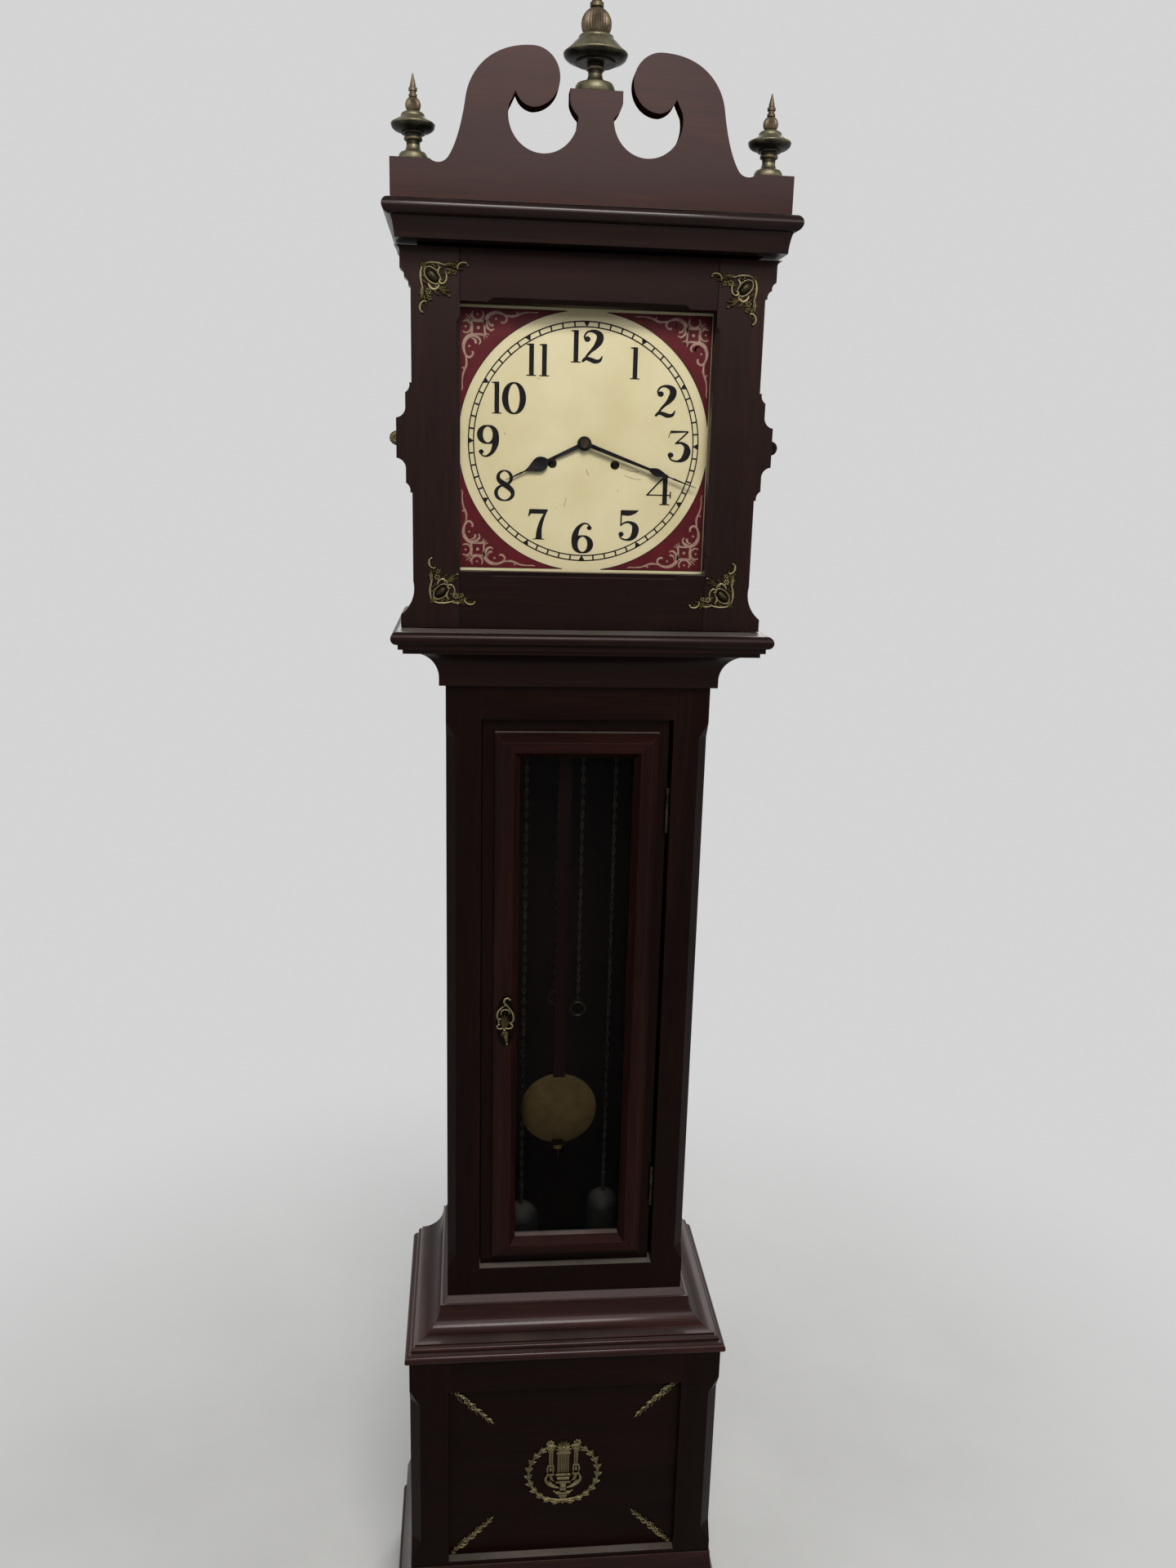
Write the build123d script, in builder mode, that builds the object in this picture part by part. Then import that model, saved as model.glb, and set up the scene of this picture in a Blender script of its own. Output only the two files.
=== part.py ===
from build123d import *
import os
from math import atan2, cos, degrees, hypot, radians, sin, sqrt

os.makedirs("parts", exist_ok=True)

# A long-case clock. Millimetres; it stands on z = 0, faces -Y, and X runs to the viewer's right.

# Plan sizes of the case
trunk_w = 332.0
trunk_d = 231.0
base_step = 52.0  # base beyond the trunk, in front and at each side
plinth_step = 27.0  # skirt beyond the base
flare_step = 20.0  # flared moulding beyond the base
waist_step = 58.0  # waist moulding beyond the trunk
shoulder_step = 63.0  # shoulder moulding beyond the trunk
hood_step = 30.0  # hood side beyond the trunk side
cornice_step = 36.0  # cornice beyond the hood side
cornice_past = 3.0  # cornice's nosing ahead of the shoulder's

# Heights of the case, from the floor up
skirt_h = 90.0
flare_h = 125.0
base_h = 560.0
waist_h = 69.0
trunk_h = 940.0  # top of the base to the foot of the shoulder moulding
shoulder_h = 72.0
hood_h = 430.0
cornice_h = 40.0

# Boards and joints
board_t = 16.0
back_t = 18.0
seam = 0.2  # joint line between two boards
mitre_gap = 0.2
shallow = 0.6  # bow of a flattened hollow; a quarter circle has the square root of a half

# Base
base_post_w = 53.5
base_post_d = 30.0
base_rail_t = 12.0  # also the depth of the panel's recess
base_top_rail_h = 49.0
base_bottom_rail_h = 222.0
base_panel_t = 10.0
base_panel_lap = 15.0
base_chamfer = 14.0
base_chamfer_stop = 9.0  # past the panel at its top, short of it at its foot
bottom_board_z = 20.0
bottom_board_t = 12.0
bearer_t = 16.0

# Trunk
trunk_post_w = 44.4
trunk_post_d = 24.0
trunk_bottom_rail_h = 111.0
trunk_top_rail_h = 43.0  # below the shoulder moulding
trunk_chamfer = 11.5

# Trunk door
trunk_door_recess = 10.0
trunk_door_t = 14.0
trunk_door_gap = 1.5
trunk_hinge_gap = 4.0
trunk_margin = 17.0  # flat frame showing around the raised moulding
trunk_moulding_w = 32.0
trunk_moulding_h = 20.0
trunk_moulding_edge = 9.0
trunk_bevel_out = 11.0
trunk_bevel_in = 8.0
glass_lap = 8.0
glass_t = 3.0
lock_drop = 11.0  # keyhole below the middle of the opening
escutcheon_h = 69.0
escutcheon_w = 25.0
mount_t = 3.0

# Hood and its door
hood_door_set = 20.0  # door's front ahead of the trunk's front
hood_door_t = 22.0
hood_door_gap = 1.0
hood_door_head = 2.0
stile_lap = 7.5  # stile past the hood's side
ear_step = 18.0
ear_shoulder = 7.3
ear_lip = 2.5
foot_step = 15.0
head_step = 12.0
ear_h = 45.0
ear_rise = (13.0, 28.0, 39.0)  # cove, upright and lip past the ear's flat
head_fall = (42.0, 33.0, 24.0, 7.0)  # lip, two coves and flat, down from the head
foot_rise = (15.0, 55.0)  # flat and cove, up from the foot
roundel_r = 8.5
roundel_t = 14.0
hood_chamfer = 5.0
hood_top_t = 18.0

# Dial and hands
dial_size = 304.8
dial_t = 2.0
dial_set = 14.0  # dial's face behind the trunk's front
dial_rise = 220.0  # dial's centre above the hood's foot
dial_lap_side = 4.4  # dial hidden behind the door's stiles
dial_lap_end = 1.0
winding_x = 38.0
winding_drop = 24.0
winding_hole_r = 5.5
hour_length = 104.0
minute_length = 145.0
hour_angle = 244.6
minute_angle = 109.5
hand_t = 1.4

# Pediment and finials
pediment_w = 448.0
pediment_t = 22.0
pediment_set = 40.0  # its face ahead of the trunk's front
pediment_shoulder_h = 43.0
pediment_flat = 43.0
neck_dip = 3.4  # hollow beside the flat, and its rise again
neck_dip_w = 21.0
scroll_r = 30.0
scroll_x = 70.0
scroll_z = 128.7
bay_r = 38.3
bay_x = 57.8
bay_z = 91.5
centre_block_w = 58.0
centre_block_h = 119.0
finial_block_t = 26.0
finial_block_set = 2.0  # centre block in from the neck of the board
side_finial_x = 199.0

# Movement
plate_set = 36.0  # front plate behind the dial's face
plate_t = 3.0
plate_gap = 62.0
plate_half_w = 84.0
plate_head = 80.0  # plates above the dial's centre
seat_drop = 112.0  # top of the trunk cheeks below the dial's centre
seat_t = 20.0
seat_d = 89.0
arbor_r = 3.0
pivot_r = 1.5
running = 0.05  # radial clearance of a shaft in its bore
chain_r = 2.0
chain_set = 35.0  # chains behind the front plate
sprocket_r = 22.0  # to the middle of the chain
chain_clear = 0.3
pillar_r = 4.5
dial_foot_r = 3.5

# Pendulum, weights and gong
pendulum_x = -12.0
pendulum_set = 40.0
suspension_rise = 55.3
leader_r = 1.25
leader_drop = 290.0
rod_w = 16.0
rod_t = 6.0
bob_r = 53.0
bob_t = 18.0
bob_drop = 951.3  # suspension to the middle of the bob
weight_r = 25.0
weight_h = 210.0
right_weight_top = 735.0
left_weight_top = 717.0
right_ring_z = 1025.0
ring_r = 10.0
gong_r = 2.5
gong_drop = 262.0
hammer_drop = 73.0

# Planes and levels that follow from the sizes above
y_back = (trunk_d + base_step + plinth_step) / 2
y_trunk = y_back - trunk_d
y_base = y_trunk - base_step
y_inner = y_back - back_t
trunk_half = trunk_w / 2
base_half = trunk_half + base_step
hood_half = trunk_half + hood_step
z_base = base_h
z_shoulder = z_base + trunk_h
z_hood = z_shoulder + shoulder_h
z_cornice = z_hood + hood_h
z_top = z_cornice + cornice_h
z_dial = z_hood + dial_rise
z_seat = z_dial - seat_drop
y_dial = y_trunk + dial_set
y_plate = y_dial + plate_set
y_plate_back = y_plate + plate_t + plate_gap
y_chain = y_plate + chain_set
y_pendulum = y_trunk + pendulum_set
z_winding = z_dial - winding_drop
z_suspension = z_dial + suspension_rise


def front_plane(y, x=0, z=0):
    """A plane that faces the viewer at depth y, centred on (x, z)."""
    return Plane(origin=(x, y, z), x_dir=(1, 0, 0), z_dir=(0, -1, 0))


def slab(x, y, z, mode=Mode.ADD):
    """Add a box to the part in hand, from three (low, high) pairs."""
    with Locations([(sum(x) / 2, sum(y) / 2, sum(z) / 2)]):
        Box(x[1] - x[0], y[1] - y[0], z[1] - z[0], mode=mode)


def rod(x, z, radius, y, mode=Mode.ADD):
    """Add a round bar along Y to the part in hand, between the two depths in y."""
    with BuildSketch(front_plane(y[0], x, z)) as section:
        Circle(radius)
    extrude(section.sketch, amount=y[0] - y[1], mode=mode)


def post(x, y, radius, z, mode=Mode.ADD):
    """Add a round bar along Z to the part in hand, between the two heights in z."""
    with BuildSketch(Plane.XY.offset(z[0])) as section:
        with Locations((x, y)):
            Circle(radius)
    extrude(section.sketch, amount=z[1] - z[0], mode=mode)


def hollow(start, end, corner, depth=sqrt(0.5)):
    """A concave arc from start to end, bowed towards neither point but away from the corner."""
    middle = [c + (s - c + e - c) * depth for s, e, c in zip(start, end, corner)]
    ThreePointArc(start, tuple(middle), end)


def stopped_chamfer(origin, along, outward, start, end, size):
    """Plane a flat along an arris of the part in hand, running out before both of its ends."""
    deep = size * sqrt(0.5)
    run = 2 * size
    side_view = Plane(origin=origin, x_dir=along, z_dir=Vector(along).cross(Vector(outward)))
    with BuildSketch(side_view) as cut:
        Polygon((start, 1), (start + run, -deep), (end - run, -deep), (end, 1), align=None)
    extrude(cut.sketch, amount=size, both=True, mode=Mode.SUBTRACT)


def return_moulding(section, half, front, reach, low, high):
    """Three lengths of a moulding round the sides and front of the case, mitred at the front."""
    with BuildPart() as run:
        with BuildSketch(Plane(origin=(-half, y_back, 0), x_dir=(-1, 0, 0), z_dir=(0, 1, 0))):
            section()
        with BuildLine():
            Polyline(
                (-half, y_back, 0), (-half, front, 0), (half, front, 0), (half, y_back, 0)
            )
        sweep(transition=Transition.RIGHT)
        for side in (-1, 1):
            middle = (side * (half + reach / 2), front - reach / 2, (low + high) / 2)
            with Locations(Location(middle, (0, 0, 45 * side))):
                Box(mitre_gap, 2 * reach, 2 * (high - low), mode=Mode.SUBTRACT)
    return run


def gear(teeth, pitch_r, angle):
    """Draw a wheel's toothed outline with one tooth pointing along angle, in degrees."""
    module = 2 * pitch_r / teeth
    root, tip = pitch_r - 1.25 * module, pitch_r + 0.85 * module
    corners = ((root, -0.29), (tip, -0.11), (tip, 0.11), (root, 0.29))
    points = []
    for tooth in range(teeth):
        for radius, share in corners:
            turn = radians(angle + (tooth + share) * 360 / teeth)
            points.append((radius * cos(turn), radius * sin(turn)))
    Polygon(*points, align=None)


def spokes(rim_r, hub_r, count=5):
    """Cut the crossings of a wheel out of the sketch in hand."""
    mean = (rim_r + hub_r) / 2
    with PolarLocations(mean, count):
        Circle((rim_r - hub_r) / 2 * 0.86, mode=Mode.SUBTRACT)


def wheel(teeth, pitch_r, angle, y, thick, x, z, hub_r=7.0):
    """Add a crossed-out wheel to the part in hand."""
    with BuildSketch(front_plane(y, x, z)) as outline:
        gear(teeth, pitch_r, angle)
        spokes(pitch_r * 0.86, hub_r)
    extrude(outline.sketch, amount=-thick)


def pinion(teeth, pitch_r, angle, y, thick, x, z):
    """Add a solid toothed pinion to the part in hand."""
    with BuildSketch(front_plane(y, x, z)) as outline:
        gear(teeth, pitch_r, angle)
    extrude(outline.sketch, amount=-thick)


def save(builder, name):
    """Label a finished piece and write it out."""
    builder.part.label = name
    export_step(builder.part, f"parts/{name}.step")


# Back boards: base, trunk and hood
with BuildPart() as back_boards:
    slab((-base_half, base_half), (y_inner, y_back), (0, z_base))
    slab((-trunk_half, trunk_half), (y_inner, y_back), (z_base + seam, z_hood - seam))
    slab((-hood_half, hood_half), (y_inner, y_back), (z_hood, z_top - hood_top_t))
save(back_boards, "back_boards")

# Base carcass
base_open_half = base_half - base_post_w
base_open_low = base_bottom_rail_h
base_open_high = z_base - base_top_rail_h
with BuildPart() as base_posts:
    for side in (-1, 1):
        outer = side * base_half
        inner = side * base_open_half
        slab(sorted((inner, outer)), (y_base, y_base + base_post_d), (0, z_base))
        stopped_chamfer(
            (outer, y_base, 0),
            (0, 0, 1),
            (side * sqrt(0.5), -sqrt(0.5), 0),
            base_open_low + base_chamfer_stop,
            base_open_high + base_chamfer_stop,
            base_chamfer,
        )
save(base_posts, "base_posts")

with BuildPart() as base_sides:
    for side in (-1, 1):
        faces = sorted((side * (base_half - board_t), side * base_half))
        slab(faces, (y_base + base_post_d, y_inner), (0, z_base))
save(base_sides, "base_sides")

bearer_in = trunk_half - board_t
bearer_out = base_half - board_t
with BuildPart() as base_rails:
    opening = (-base_open_half, base_open_half)
    slab(opening, (y_base, y_base + base_rail_t), (0, base_open_low))
    slab(opening, (y_base, y_base + base_rail_t), (base_open_high, z_base))
    level = (z_base - bearer_t, z_base)
    slab((-bearer_out, bearer_out), (y_base + base_post_d, y_trunk + trunk_post_d), level)
    for side in (-1, 1):
        strip = sorted((side * bearer_in, side * bearer_out))
        slab(strip, (y_trunk + trunk_post_d + seam, y_inner), level)
save(base_rails, "base_rails")

with BuildPart() as base_panel:
    slab(
        (-base_open_half, base_open_half),
        (y_base + base_rail_t, y_base + base_rail_t + base_panel_t),
        (base_open_low - base_panel_lap, base_open_high + base_panel_lap),
    )
save(base_panel, "base_panel")

with BuildPart() as base_bottom_board:
    slab(
        (-bearer_out, bearer_out),
        (y_base + base_post_d, y_inner),
        (bottom_board_z, bottom_board_z + bottom_board_t),
    )
save(base_bottom_board, "base_bottom_board")

# Mouldings round the case; each section is drawn as (distance out from the face, height)
skirt_round = 8.0


def skirt_section():
    with BuildLine() as outline:
        Polyline((0, skirt_h), (0, 0), (plinth_step, 0), (plinth_step, skirt_h - skirt_round))
        CenterArc((plinth_step - skirt_round, skirt_h - skirt_round), skirt_round, 0, 90)
        Line((plinth_step - skirt_round, skirt_h), (0, skirt_h))
    make_face(outline.edges())


plinth_skirt = return_moulding(skirt_section, base_half, y_base, plinth_step, 0, skirt_h)
save(plinth_skirt, "plinth_skirt")

flare_band = 39.0
flare_lip = 1.5


def flare_section():
    top = skirt_h + flare_h
    band = skirt_h + flare_band
    with BuildLine() as outline:
        Polyline((0, top), (0, skirt_h), (flare_step, skirt_h), (flare_step, band))
        hollow((flare_step, band), (flare_lip, top), (flare_step, top), shallow)
        Line((flare_lip, top), (0, top))
    make_face(outline.edges())


base_moulding = return_moulding(
    flare_section, base_half, y_base, flare_step, skirt_h, skirt_h + flare_h
)
save(base_moulding, "base_moulding")

fillet_w = 3.0
waist_nose_r = 7.0
waist_bead_r = 4.0
waist_bead_set = 8.0
waist_slope_h = 8.0
waist_slope_w = 7.0
waist_set_in = 2.0  # fillet in from the bead's middle


def waist_section():
    nose_x = waist_step - waist_nose_r
    bead_x = waist_step - waist_bead_set - waist_bead_r
    bead_z = z_base + 2 * waist_nose_r + waist_bead_r
    cove_low = (bead_x - waist_set_in, bead_z + waist_bead_r + fillet_w)
    cove_high = (waist_slope_w + fillet_w, z_base + waist_h - waist_slope_h - fillet_w)
    with BuildLine() as outline:
        Polyline((0, z_base + waist_h), (0, z_base), (nose_x, z_base))
        CenterArc((nose_x, z_base + waist_nose_r), waist_nose_r, -90, 180)
        Line((nose_x, z_base + 2 * waist_nose_r), (bead_x, z_base + 2 * waist_nose_r))
        CenterArc((bead_x, bead_z), waist_bead_r, -90, 180)
        Polyline(
            (bead_x, bead_z + waist_bead_r),
            (bead_x - waist_set_in, bead_z + waist_bead_r),
            cove_low,
        )
        hollow(cove_low, cove_high, (cove_low[0], cove_high[1]))
        Polyline(
            cove_high,
            (cove_high[0], cove_high[1] + fillet_w),
            (waist_slope_w, cove_high[1] + fillet_w),
            (0, z_base + waist_h),
        )
    make_face(outline.edges())


waist_moulding = return_moulding(
    waist_section, trunk_half, y_trunk, waist_step, z_base, z_base + waist_h
)
save(waist_moulding, "waist_moulding")

shoulder_nose_r = 8.0
shoulder_fillet_h = 10.0
shoulder_fillet_w = 8.0
shoulder_step_w = 5.5


def shoulder_section():
    nose_x = shoulder_step - shoulder_nose_r
    nose_low = z_hood - 2 * shoulder_nose_r
    step_h = shoulder_step_w
    cove_low = (shoulder_fillet_w, z_shoulder + shoulder_fillet_h)
    cove_high = (nose_x - 2 * shoulder_step_w, nose_low - 2 * step_h)
    with BuildLine() as outline:
        Polyline((0, z_hood), (0, z_shoulder), (shoulder_fillet_w, z_shoulder), cove_low)
        hollow(cove_low, cove_high, (cove_high[0], cove_low[1]))
        Polyline(
            cove_high,
            (cove_high[0] + shoulder_step_w, cove_high[1]),
            (cove_high[0] + shoulder_step_w, cove_high[1] + step_h),
            (nose_x, cove_high[1] + step_h),
            (nose_x, nose_low),
        )
        CenterArc((nose_x, z_hood - shoulder_nose_r), shoulder_nose_r, -90, 180)
        Line((nose_x, z_hood), (0, z_hood))
    make_face(outline.edges())


shoulder_moulding = return_moulding(
    shoulder_section, trunk_half, y_trunk, shoulder_step, z_shoulder, z_hood
)
save(shoulder_moulding, "shoulder_moulding")

cornice_nose_r = 9.0
cornice_soffit = 23.0


def cornice_section():
    nose_x = cornice_step - cornice_nose_r
    nose_low = z_top - 2 * cornice_nose_r
    with BuildLine() as outline:
        Polyline((0, z_top), (0, z_cornice), (cornice_soffit, z_cornice))
        hollow((cornice_soffit, z_cornice), (nose_x, nose_low), (nose_x, z_cornice), shallow)
        CenterArc((nose_x, z_top - cornice_nose_r), cornice_nose_r, -90, 180)
        Line((nose_x, z_top), (0, z_top))
    make_face(outline.edges())


y_cornice = y_trunk - shoulder_step - cornice_past + cornice_step
cornice_moulding = return_moulding(
    cornice_section, hood_half, y_cornice, cornice_step, z_cornice, z_top
)
save(cornice_moulding, "cornice_moulding")

# Trunk carcass; its sides rise inside the hood as cheeks that carry the movement
trunk_open_half = trunk_half - trunk_post_w
trunk_open_low = z_base + trunk_bottom_rail_h
trunk_open_high = z_shoulder - trunk_top_rail_h
with BuildPart() as trunk_posts:
    for side in (-1, 1):
        outer = side * trunk_half
        inner = side * trunk_open_half
        slab(sorted((inner, outer)), (y_trunk, y_trunk + trunk_post_d), (z_base, z_hood))
        stopped_chamfer(
            (outer, y_trunk, 0),
            (0, 0, 1),
            (side * sqrt(0.5), -sqrt(0.5), 0),
            trunk_open_low,
            trunk_open_high,
            trunk_chamfer,
        )
save(trunk_posts, "trunk_posts")

with BuildPart() as trunk_sides:
    for side in (-1, 1):
        faces = sorted((side * (trunk_half - board_t), side * trunk_half))
        slab(faces, (y_trunk + trunk_post_d, y_inner), (z_base, z_seat))
save(trunk_sides, "trunk_sides")

with BuildPart() as trunk_rails:
    opening = (-trunk_open_half, trunk_open_half)
    slab(opening, (y_trunk, y_trunk + trunk_post_d), (z_base, trunk_open_low))
    slab(opening, (y_trunk, y_trunk + trunk_post_d), (trunk_open_high, z_hood))
save(trunk_rails, "trunk_rails")

# Hood carcass
y_hood_door = y_trunk - hood_door_set
y_hood_front = y_hood_door + hood_door_t + hood_door_gap
with BuildPart() as hood_sides:
    for side in (-1, 1):
        faces = sorted((side * (hood_half - board_t), side * hood_half))
        slab(faces, (y_hood_front, y_inner), (z_hood, z_top - hood_top_t))
save(hood_sides, "hood_sides")

with BuildPart() as hood_top_board:
    slab((-hood_half, hood_half), (y_cornice, y_back), (z_top - hood_top_t, z_top))
save(hood_top_board, "hood_top_board")

# Swan-neck pediment, drawn as one half in (x, height above the cornice) and mirrored
y_pediment = y_trunk - pediment_set
pediment_half = pediment_w / 2
with BuildPart() as pediment_board:
    with BuildSketch(front_plane(y_pediment, 0, z_top)):
        with BuildLine():
            ledge = (pediment_half - pediment_flat, pediment_shoulder_h)
            rise = (ledge[0] - neck_dip_w, pediment_shoulder_h + neck_dip)
            turn = (scroll_x + 2.4 * scroll_r, scroll_z - 0.8 * scroll_r)
            crown = (scroll_x, scroll_z + scroll_r)
            chin = (scroll_x, scroll_z - scroll_r)
            cusp = (scroll_x + 0.6 * scroll_r, scroll_z - scroll_r / 2)
            bay_side = (bay_x + 0.97 * bay_r, bay_z + 0.22 * bay_r)
            waist = (bay_x - bay_r, bay_z)
            block = (centre_block_w / 2, centre_block_h)
            Polyline((0, 0), (pediment_half, 0), (pediment_half, pediment_shoulder_h), ledge)
            ThreePointArc(ledge, (ledge[0] - neck_dip_w / 2, ledge[1] - neck_dip), rise)
            Bezier(rise, (rise[0] - 8, rise[1] + 12), (turn[0] + 3.5, turn[1] - 24), turn)
            Bezier(turn, (turn[0] - 4, turn[1] + 27), (crown[0] + 1.5 * scroll_r, crown[1]), crown)
            ThreePointArc(crown, (scroll_x - scroll_r, scroll_z), chin)
            ThreePointArc(chin, (scroll_x + 0.37 * scroll_r, scroll_z - 0.84 * scroll_r), cusp)
            Line(cusp, bay_side)
            ThreePointArc(bay_side, (bay_x, bay_z - bay_r), waist)
            ThreePointArc(waist, (block[0] - 4, bay_z + 6), (block[0], bay_z + 15))
            Polyline((block[0], bay_z + 15), block, (0, centre_block_h), (0, 0))
        make_face()
        mirror(about=Plane.YZ)
    extrude(amount=-pediment_t)
save(pediment_board, "pediment_board")

y_finial_block = y_pediment + pediment_t
with BuildPart() as finial_blocks:
    span = (y_finial_block, y_finial_block + finial_block_t)
    half = bay_x - bay_r - finial_block_set
    slab((-half, half), span, (z_top, z_top + centre_block_h))
    for side in (-1, 1):
        ends = sorted((side * (pediment_half - pediment_flat), side * pediment_half))
        slab(ends, span, (z_top, z_top + pediment_shoulder_h))
save(finial_blocks, "finial_blocks")


# Radii and heights of a finial's turnings, from its foot up: foot, neck, ring, flange under the saucer,
# the saucer's rim, the ledge on its lid, the reeded ball's bottom, middle and top, and the size of its spire
side_finial = (
    (16.2, 9.0), (7.6, 17.0), (10.3, 21.3, 25.6), (12.8, 28.0, 30.0), (24.0, 38.0), (13.3, 45.4),
    (5.8, 50.6), (8.4, 57.6), (4.0, 64.6), 1.0,
)
centre_finial = (
    (22.3, 11.0), (7.9, 21.0), (10.6, 24.6, 29.0), (22.0, 31.0, 33.0), (35.3, 40.9), (19.6, 56.0),
    (13.0, 60.0), (16.6, 71.0), (5.5, 86.3), 1.637,
)
# Radii and heights of the spire's collars and needle above the ball, at a side finial's size
spire_turnings = (
    (3.2, 0.0), (4.6, 0.6), (4.6, 3.0), (3.4, 3.8), (3.4, 5.6), (4.7, 6.4), (4.7, 9.4),
    (3.3, 10.4), (3.4, 11.6), (0.6, 23.7),
)
foot_round = 2.0
saucer_edge = 1.2
lid_ledge = 0.8


def finial(x, foot, turnings):
    """Turn a finial: moulded foot, ringed neck, saucer with a sloped lid, reeded ball, collared spire."""
    base, neck, ring, flange, rim, lid, low, middle, top, spire = turnings
    y = y_pediment + (pediment_t + finial_block_t) / 2
    shank = (ring[0] + neck[0]) / 2
    needle = [(radius * spire, top[1] + height * spire) for radius, height in spire_turnings]
    with BuildSketch(front_plane(y, x, foot)) as half:
        with BuildLine():
            Line((0, 0), (base[0] - foot_round / 2, 0))
            ThreePointArc(
                (base[0] - foot_round / 2, 0), (base[0], base[1] / 2), (base[0] - foot_round, base[1])
            )
            hollow((base[0] - foot_round, base[1]), neck, (base[0] - foot_round, neck[1]))
            Polyline(neck, (neck[0], ring[1]), (shank, ring[1]))
            ThreePointArc((shank, ring[1]), (ring[0], (ring[1] + ring[2]) / 2), (shank, ring[2]))
            Polyline(
                (shank, ring[2]),
                (shank, flange[1]),
                (flange[0], flange[1]),
                (flange[0], flange[2]),
            )
            hollow(
                (flange[0], flange[2]),
                (rim[0], rim[1] - saucer_edge),
                (flange[0], rim[1] - saucer_edge),
            )
            ThreePointArc(
                (rim[0], rim[1] - saucer_edge),
                (rim[0] + saucer_edge / 4, rim[1]),
                (rim[0] - saucer_edge, rim[1] + saucer_edge),
            )
            Polyline((rim[0] - saucer_edge, rim[1] + saucer_edge), lid, (lid[0], lid[1] + lid_ledge))
            hollow((lid[0], lid[1] + lid_ledge), low, (low[0], lid[1] + lid_ledge))
            ThreePointArc(low, middle, top)
            Polyline(top, *needle, (0, needle[-1][1]), (0, 0))
        make_face()
    revolve(half.sketch, axis=Axis((x, y, foot), (0, 0, 1)))


with BuildPart() as finials:
    finial(0, z_top + centre_block_h, centre_finial)
    for side in (-1, 1):
        finial(side * side_finial_x, z_top + pediment_shoulder_h, side_finial)
save(finials, "finials")

# Brass mounts on the base panel: a lyre in a wreath, and a garland along each diagonal
y_base_mount = y_base + base_rail_t
panel_z = (base_open_low + base_open_high) / 2
wreath_r = 58.0
wreath_w = 12.0
wreath_drop = 5.0
lyre_w = 46.0
lyre_h = 70.0
garland_l = 88.0
garland_w = 13.0
garland_set = 4.0
with BuildPart() as base_mounts:
    with BuildSketch(front_plane(y_base_mount, 0, panel_z - wreath_drop)):
        Circle(wreath_r)
        Circle(wreath_r - wreath_w, mode=Mode.SUBTRACT)
        arm = wreath_w * 0.7
        with Locations((0, wreath_r - wreath_w / 2 - lyre_h / 2)):
            RectangleRounded(lyre_w, lyre_h, lyre_w * 0.35)
            with Locations((0, arm)):
                RectangleRounded(lyre_w - 2 * arm, lyre_h - arm, lyre_w * 0.2, mode=Mode.SUBTRACT)
            Rectangle(arm * 2, lyre_h)
        with Locations((0, wreath_w - wreath_r)):
            Rectangle(lyre_w * 0.6, wreath_w * 2.4)
    extrude(amount=mount_t)
    for side in (-1, 1):
        for end, level in ((-1, base_open_low), (1, base_open_high)):
            inward = Vector(-side * sqrt(0.5), 0, -end * sqrt(0.5))
            corner = Vector(side * base_open_half, y_base_mount, level) + inward * garland_set
            with BuildSketch(Plane(origin=corner, x_dir=inward, z_dir=(0, -1, 0))):
                with BuildLine():
                    for edge in (-1, 1):
                        ThreePointArc(
                            (0, 0), (garland_l * 0.42, edge * garland_w / 2), (garland_l, 0)
                        )
                make_face()
            extrude(amount=mount_t)
save(base_mounts, "base_mounts")

# Hood door: stiles with stepped ears, rails, glass, brass corner mounts and ear roundels
hood_open_half = dial_size / 2 - dial_lap_side
hood_open_low = z_dial - dial_size / 2 + dial_lap_end
hood_open_high = z_dial + dial_size / 2 - dial_lap_end
hood_door_low = z_hood + hood_door_gap
hood_door_high = z_cornice - hood_door_head
stile_x = hood_half + stile_lap


def stile_outline():
    """The right stile: a spreading foot, a stepped ear at mid height and a stepped head."""
    lip, step, ear = stile_x + ear_lip, stile_x + ear_shoulder, stile_x + ear_step
    foot, head = stile_x + foot_step, stile_x + head_step
    ear_low, ear_high = z_dial - ear_h / 2, z_dial + ear_h / 2
    cove, upright, ledge = ear_rise
    foot_flat, foot_cove = (hood_door_low + up for up in foot_rise)
    head_lip, head_low, head_mid, head_flat = (hood_door_high - down for down in head_fall)
    with BuildLine() as outline:
        Polyline(
            (hood_open_half, hood_door_high),
            (hood_open_half, hood_door_low),
            (foot, hood_door_low),
            (foot, foot_flat),
        )
        hollow((foot, foot_flat), (stile_x, foot_cove), (foot, foot_cove))
        Polyline((stile_x, foot_cove), (stile_x, ear_low - ledge), (lip, ear_low - ledge))
        hollow((lip, ear_low - ledge), (step, ear_low - upright), (step, ear_low - ledge))
        Line((step, ear_low - upright), (step, ear_low - cove))
        hollow((step, ear_low - cove), (ear, ear_low), (ear, ear_low - cove))
        Line((ear, ear_low), (ear, ear_high))
        hollow((ear, ear_high), (step, ear_high + cove), (ear, ear_high + cove))
        Line((step, ear_high + cove), (step, ear_high + upright))
        hollow((step, ear_high + upright), (lip, ear_high + ledge), (step, ear_high + ledge))
        Polyline(
            (lip, ear_high + ledge), (stile_x, ear_high + ledge), (stile_x, head_lip), (lip, head_lip)
        )
        hollow((lip, head_lip), (step, head_low), (step, head_lip))
        hollow((step, head_low), (head, head_mid), (head, head_low))
        Line((head, head_mid), (head, head_flat))
        hollow((head, head_flat), (ear, hood_door_high), (ear, head_flat))
        Line((ear, hood_door_high), (hood_open_half, hood_door_high))
    make_face(outline.edges())


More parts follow.
